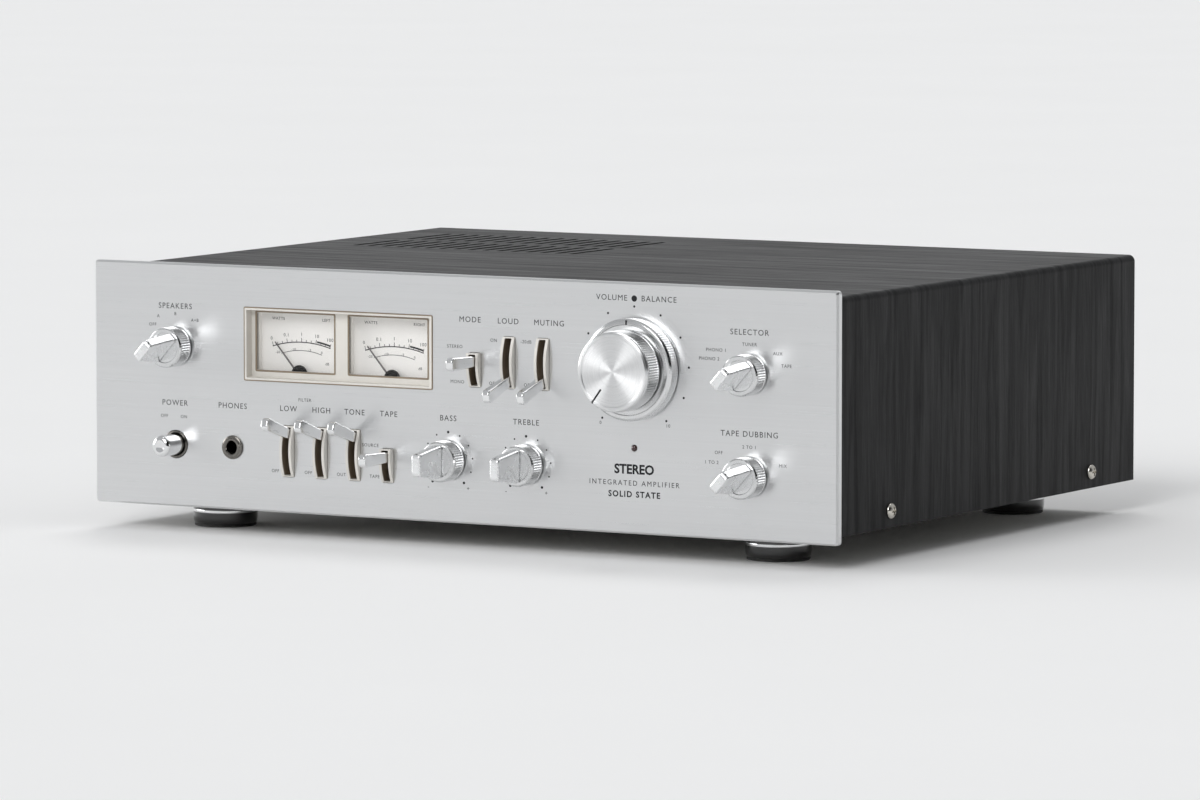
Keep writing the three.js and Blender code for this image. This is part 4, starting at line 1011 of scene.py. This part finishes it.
def case_screws():
    """Two on each side, low on the cover."""
    for end in ("front", "rear"):
        for side, sign in (("left", -1), ("right", 1)):
            node = f"case_screw_{end}_{side}"
            low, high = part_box(node)
            outside = (high.x if sign > 0 else -low.x) / MM
            seat = Matrix.Translation((sign * (outside - 2.2), 0, 0))
            made = Piece()
            screw_head(made, 4, 2.2, Matrix.Rotation(sign * math.pi / 2, 4, "Y"), seat)
            made.turned([(0, -4.2 * sign), (1.8, -4.2 * sign), (1.8, 0.1 * sign), (0, 0.1 * sign)],
                        ABOUT_X, 32, place=seat)
            at = (low + high) / 2
            at.x = 0
            made.finish(f"{node}_head", "nickel", at=at, replaces=[node])


def foot(node):
    """A gloss black foot with a bright band, a rubber pad and its screw."""
    at = middle(node)
    at.z = 0
    body = Piece().turned([
        (0, 2.6), (10.8, 2.6), (11.2, 1.4), (15.6, 1.4), (16.2, 1.6), (16.6, 2.4), (16.9, 4.2),
        (16.9, 10.6), (16.6, 11.6), (15.9, 12.5), (15.2, 12.9), (14, 15.6), (13.6, 16.0),
        (0, 16.0)], ABOUT_Z, 96)
    body.finish(f"{node}_body", "gloss", at=at, replaces=[node])
    band = Piece().turned([
        (16.8, 7.4), (17.0, 7.5), (17.05, 7.8), (17.05, 8.6), (17.0, 8.9), (16.8, 9.0),
        (16.4, 8.9), (16.4, 7.5)], ABOUT_Z, 96, ring=True)
    band.finish(f"{node}_band", "chrome", at=at, slot="foot")
    pad = Piece().turned([
        (12, 0.05), (12.2, 0), (15.8, 0), (16.1, 0.15), (16.2, 0.5), (16.0, 1.6), (11.4, 1.6),
        (11.2, 0.5), (11.5, 0.15)], ABOUT_Z, 96, ring=True)
    pad.finish(f"{node}_pad", "rubber", at=at)
    screw = Piece()
    screw_head(screw, 4.2, 1.6, Matrix.Rotation(math.pi, 4, "X"),
               Matrix.Translation((0, 0, 2.7)))
    screw.finish(f"{node}_screw", "zinc", at=at)


case_cover()
case_screws()
for end in ("front", "rear"):
    for side in ("left", "right"):
        foot(f"foot_{end}_{side}")

# --- rear panel

REAR_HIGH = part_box("rear_panel")[1]
JACK_X, JACK_Z, JACK_PITCH, JACK_COLUMNS, JACK_RISE = 122, 104, 16, 8, 18
TERMINAL_X, TERMINAL_Z, TERMINAL_COUNT = -28, 74, 8
OUTLET_X, OUTLET_Z = -120, 60
BACK = Vector((0, REAR_HIGH.y, 0))   # on the rear panel's outer face, at floor level


def phono_sockets():
    """Two rows of sockets on their board, white over red."""
    sleeves, white, red, centres = Piece(), Piece(), Piece(), Piece()
    for column in range(JACK_COLUMNS):
        for row, colour in ((0.5, white), (-0.5, red)):
            x = JACK_X + (column - (JACK_COLUMNS - 1) / 2) * JACK_PITCH
            place = Matrix.Translation((x, 0, JACK_Z + row * JACK_RISE))
            for made, sides, profile in (
                    (sleeves, 48, [(3.5, 1.2), (4.2, 1.2), (4.2, 9), (4, 9.5), (3.7, 9.5),
                                   (3.5, 9.2)]),
                    (sleeves, 6, [(3.6, 0.3), (6.3, 0.3), (6.3, 0.9), (5.9, 1.3), (3.6, 1.3)]),
                    (colour, 48, [(1.7, -2), (3.6, -2), (3.6, 8), (3.3, 8.5), (1.9, 8.5),
                                  (1.7, 8.2)]),
                    (centres, 32, [(1.3, -2), (1.75, -2), (1.75, 8), (1.3, 8)])):
                made.turned(profile, sides=sides, ring=True, place=place)
    width = JACK_COLUMNS * JACK_PITCH + 8
    board = Piece().box((JACK_X - width / 2, -5.2, JACK_Z - 18),
                        (JACK_X + width / 2, -3.2, JACK_Z + 18), 0.3)
    board.finish("input_jacks_board", "board", at=BACK, slot="zinc",
                 replaces=["input_jacks"])
    sleeves.finish("input_jacks_sleeves", "nickel", at=BACK, slot="zinc")
    white.finish("input_jacks_white", "white", at=BACK)
    red.finish("input_jacks_red", "red", at=BACK)
    centres.finish("input_jacks_contacts", "nickel", at=BACK, slot="zinc")


def speaker_terminals():
    """A block of screw terminals with a rib between each pair."""
    x, z, width, height = TERMINAL_X, TERMINAL_Z, 104, 27
    pitch = (width - 12) / TERMINAL_COUNT
    block, screws = Piece(), Piece()
    block.box((x - width / 2, 0.3, z - height / 2), (x + width / 2, 3, z + height / 2), 0.6)
    for i in range(TERMINAL_COUNT + 1):
        rib = x + (i - TERMINAL_COUNT / 2) * pitch
        block.box((rib - 0.8, 2.5, z - 10), (rib + 0.8, 6.6, z + 10), 0.35)
        if i < TERMINAL_COUNT:
            place = Matrix.Translation((rib + pitch / 2, 3.2, z))
            screws.turned([(0, 0), (4.4, 0), (4.4, 0.5), (4.1, 0.8), (0, 0.8)], sides=4,
                          place=place @ Matrix.Rotation(math.pi / 4, 4, "Y"))
            screw_head(screws, 3.4, 2.0, ABOUT_Y, place @ Matrix.Translation((0, 0.7, 0)))
    block.finish("speaker_terminals_block", "black", at=BACK,
                 replaces=["speaker_terminals"])
    screws.finish("speaker_terminals_screws", "nickel", at=BACK, slot="black_plastic")


def outlets():
    """A cover with two mains outlets of two slots each."""
    x, z, width, height = OUTLET_X, OUTLET_Z, 62, 26
    cover = Piece().slab([rectangle(x, z, width, height, 2)], 0.3, 4, bevel=0.5)
    cover.box((x - width / 2 + 4, -15, z - height / 2 + 4),
              (x + width / 2 - 4, 2, z + height / 2 - 4), 0.4)
    slots = Piece()
    for away in (-21.3, -8.7, 8.7, 21.3):
        slots.slab([rectangle(x + away, z, 2.2, 8, 0.3)], -11, 6)
    cover.carve(slots)
    cover.finish("ac_outlet_cover", "black", at=BACK, replaces=["ac_outlet"])


def fit(made, node, part, look):
    """Finishes a fitting, where its axis meets the rear panel's outer face."""
    at = middle(node)
    at.y = REAR_HIGH.y
    made.finish(f"{node}_{part}", look, at=at, replaces=[node])


def small_terminals():
    """The fuse holder, the cord gland and the ground post."""
    fuse = Piece().turned([
        (0, -31), (5.5, -31), (5.5, 0.3), (8.5, 0.3), (8.5, 1.9), (8.1, 2.5), (7.1, 2.6),
        (6.7, 3.2, True), (6.5, 8.6, True), (6.2, 9.5), (5.5, 10), (0, 10)], sides=192, flutes=24,
        depth=0.5)
    fuse.carve(Piece().box((-4.2, 9, -0.6), (4.2, 12, 0.6), 0.1))
    fit(fuse, "fuse_holder", "cap", "black")
    gland = Piece().turned([
        (3.6, -9), (6, -9), (6, 0.3), (9, 0.3), (9, 2.2), (8.7, 3), (8.1, 3.3), (6.9, 7.8),
        (6.4, 8.4), (5.8, 8.5), (4.2, 8.5), (3.6, 8.0)], sides=96, ring=True)
    fit(gland, "cord_gland", "bush", "black")
    post = Piece().turned([
        (0, -6), (1.9, -6), (1.9, 0.3), (6, 0.3), (6, 1.1), (5.6, 1.5), (4.3, 1.6),
        (4.6, 2.2, True), (4.6, 7.3, True), (4.2, 8.2), (3.6, 8.5), (1.9, 8.5), (1.9, 9.8),
        (1.5, 10.2), (0, 10.2)], sides=240, flutes=40, depth=0.4)
    fit(post, "ground_post", "nut", "brass")


def rear_print():
    """White words beside the sockets and fittings, and the frame round the sockets."""
    out = Piece()
    back = Matrix.Rotation(math.pi, 4, "Z") @ FRONT
    inputs = ("PHONO 1", "PHONO 2", "TUNER", "AUX", "TAPE 1", "REC 1", "TAPE 2", "REC 2")
    for column, text in enumerate(inputs):
        x = JACK_X + ((JACK_COLUMNS - 1) / 2 - column) * JACK_PITCH
        out.words(text, 2.8, x, JACK_Z + 19, plane=back)
    for text, x, z, size in (
            ("INPUTS", JACK_X, 128.6, 3.4), ("SPEAKERS", TERMINAL_X, 93, 4.0),
            ("A", TERMINAL_X + 23, 55.5, 3.8), ("B", TERMINAL_X - 23, 55.5, 3.8),
            ("AC OUTLETS", OUTLET_X, 78, 3.8), ("FUSE", -178, 117, 3.8),
            ("GND", 200, 81, 3.8), ("L", 190, 113, 3.4), ("R", 190, 95, 3.4),
            ("AC IN", -188, 60, 3.8)):
        out.words(text, size, x, z, plane=back)
    for x in (JACK_X - 68, JACK_X + 68):
        out.slab([rectangle(x, JACK_Z + 2, 0.45, 45)], -INK, INK)
    out.slab([rectangle(JACK_X, 126.2, 136.45, 0.45)], -INK, INK)
    out.finish("rear_print", "white ink", at=BACK + Vector((0, 0.02 * MM, 0)))


def rear_screws():
    """Screws that hold the rear panel, then those that hold its fittings."""
    made = Piece()
    for x in (-208, -104, 0, 104, 208):
        for z in (24, 130):
            screw_head(made, 3.2, 1.7, ABOUT_Y, Matrix.Translation((x, 0.02, z)))
    fittings = ((TERMINAL_X - 49, 3, TERMINAL_Z), (TERMINAL_X + 49, 3, TERMINAL_Z),
                (OUTLET_X, 4, OUTLET_Z), (JACK_X - 74, 0, JACK_Z), (JACK_X + 74, 0, JACK_Z))
    for x, y, z in fittings:
        screw_head(made, 2.4, 1.5, ABOUT_Y, Matrix.Translation((x, y + 0.02, z)))
    made.finish("rear_screws", "nickel", at=BACK, slot="rear")


phono_sockets()
speaker_terminals()
outlets()
small_terminals()
rear_print()
rear_screws()
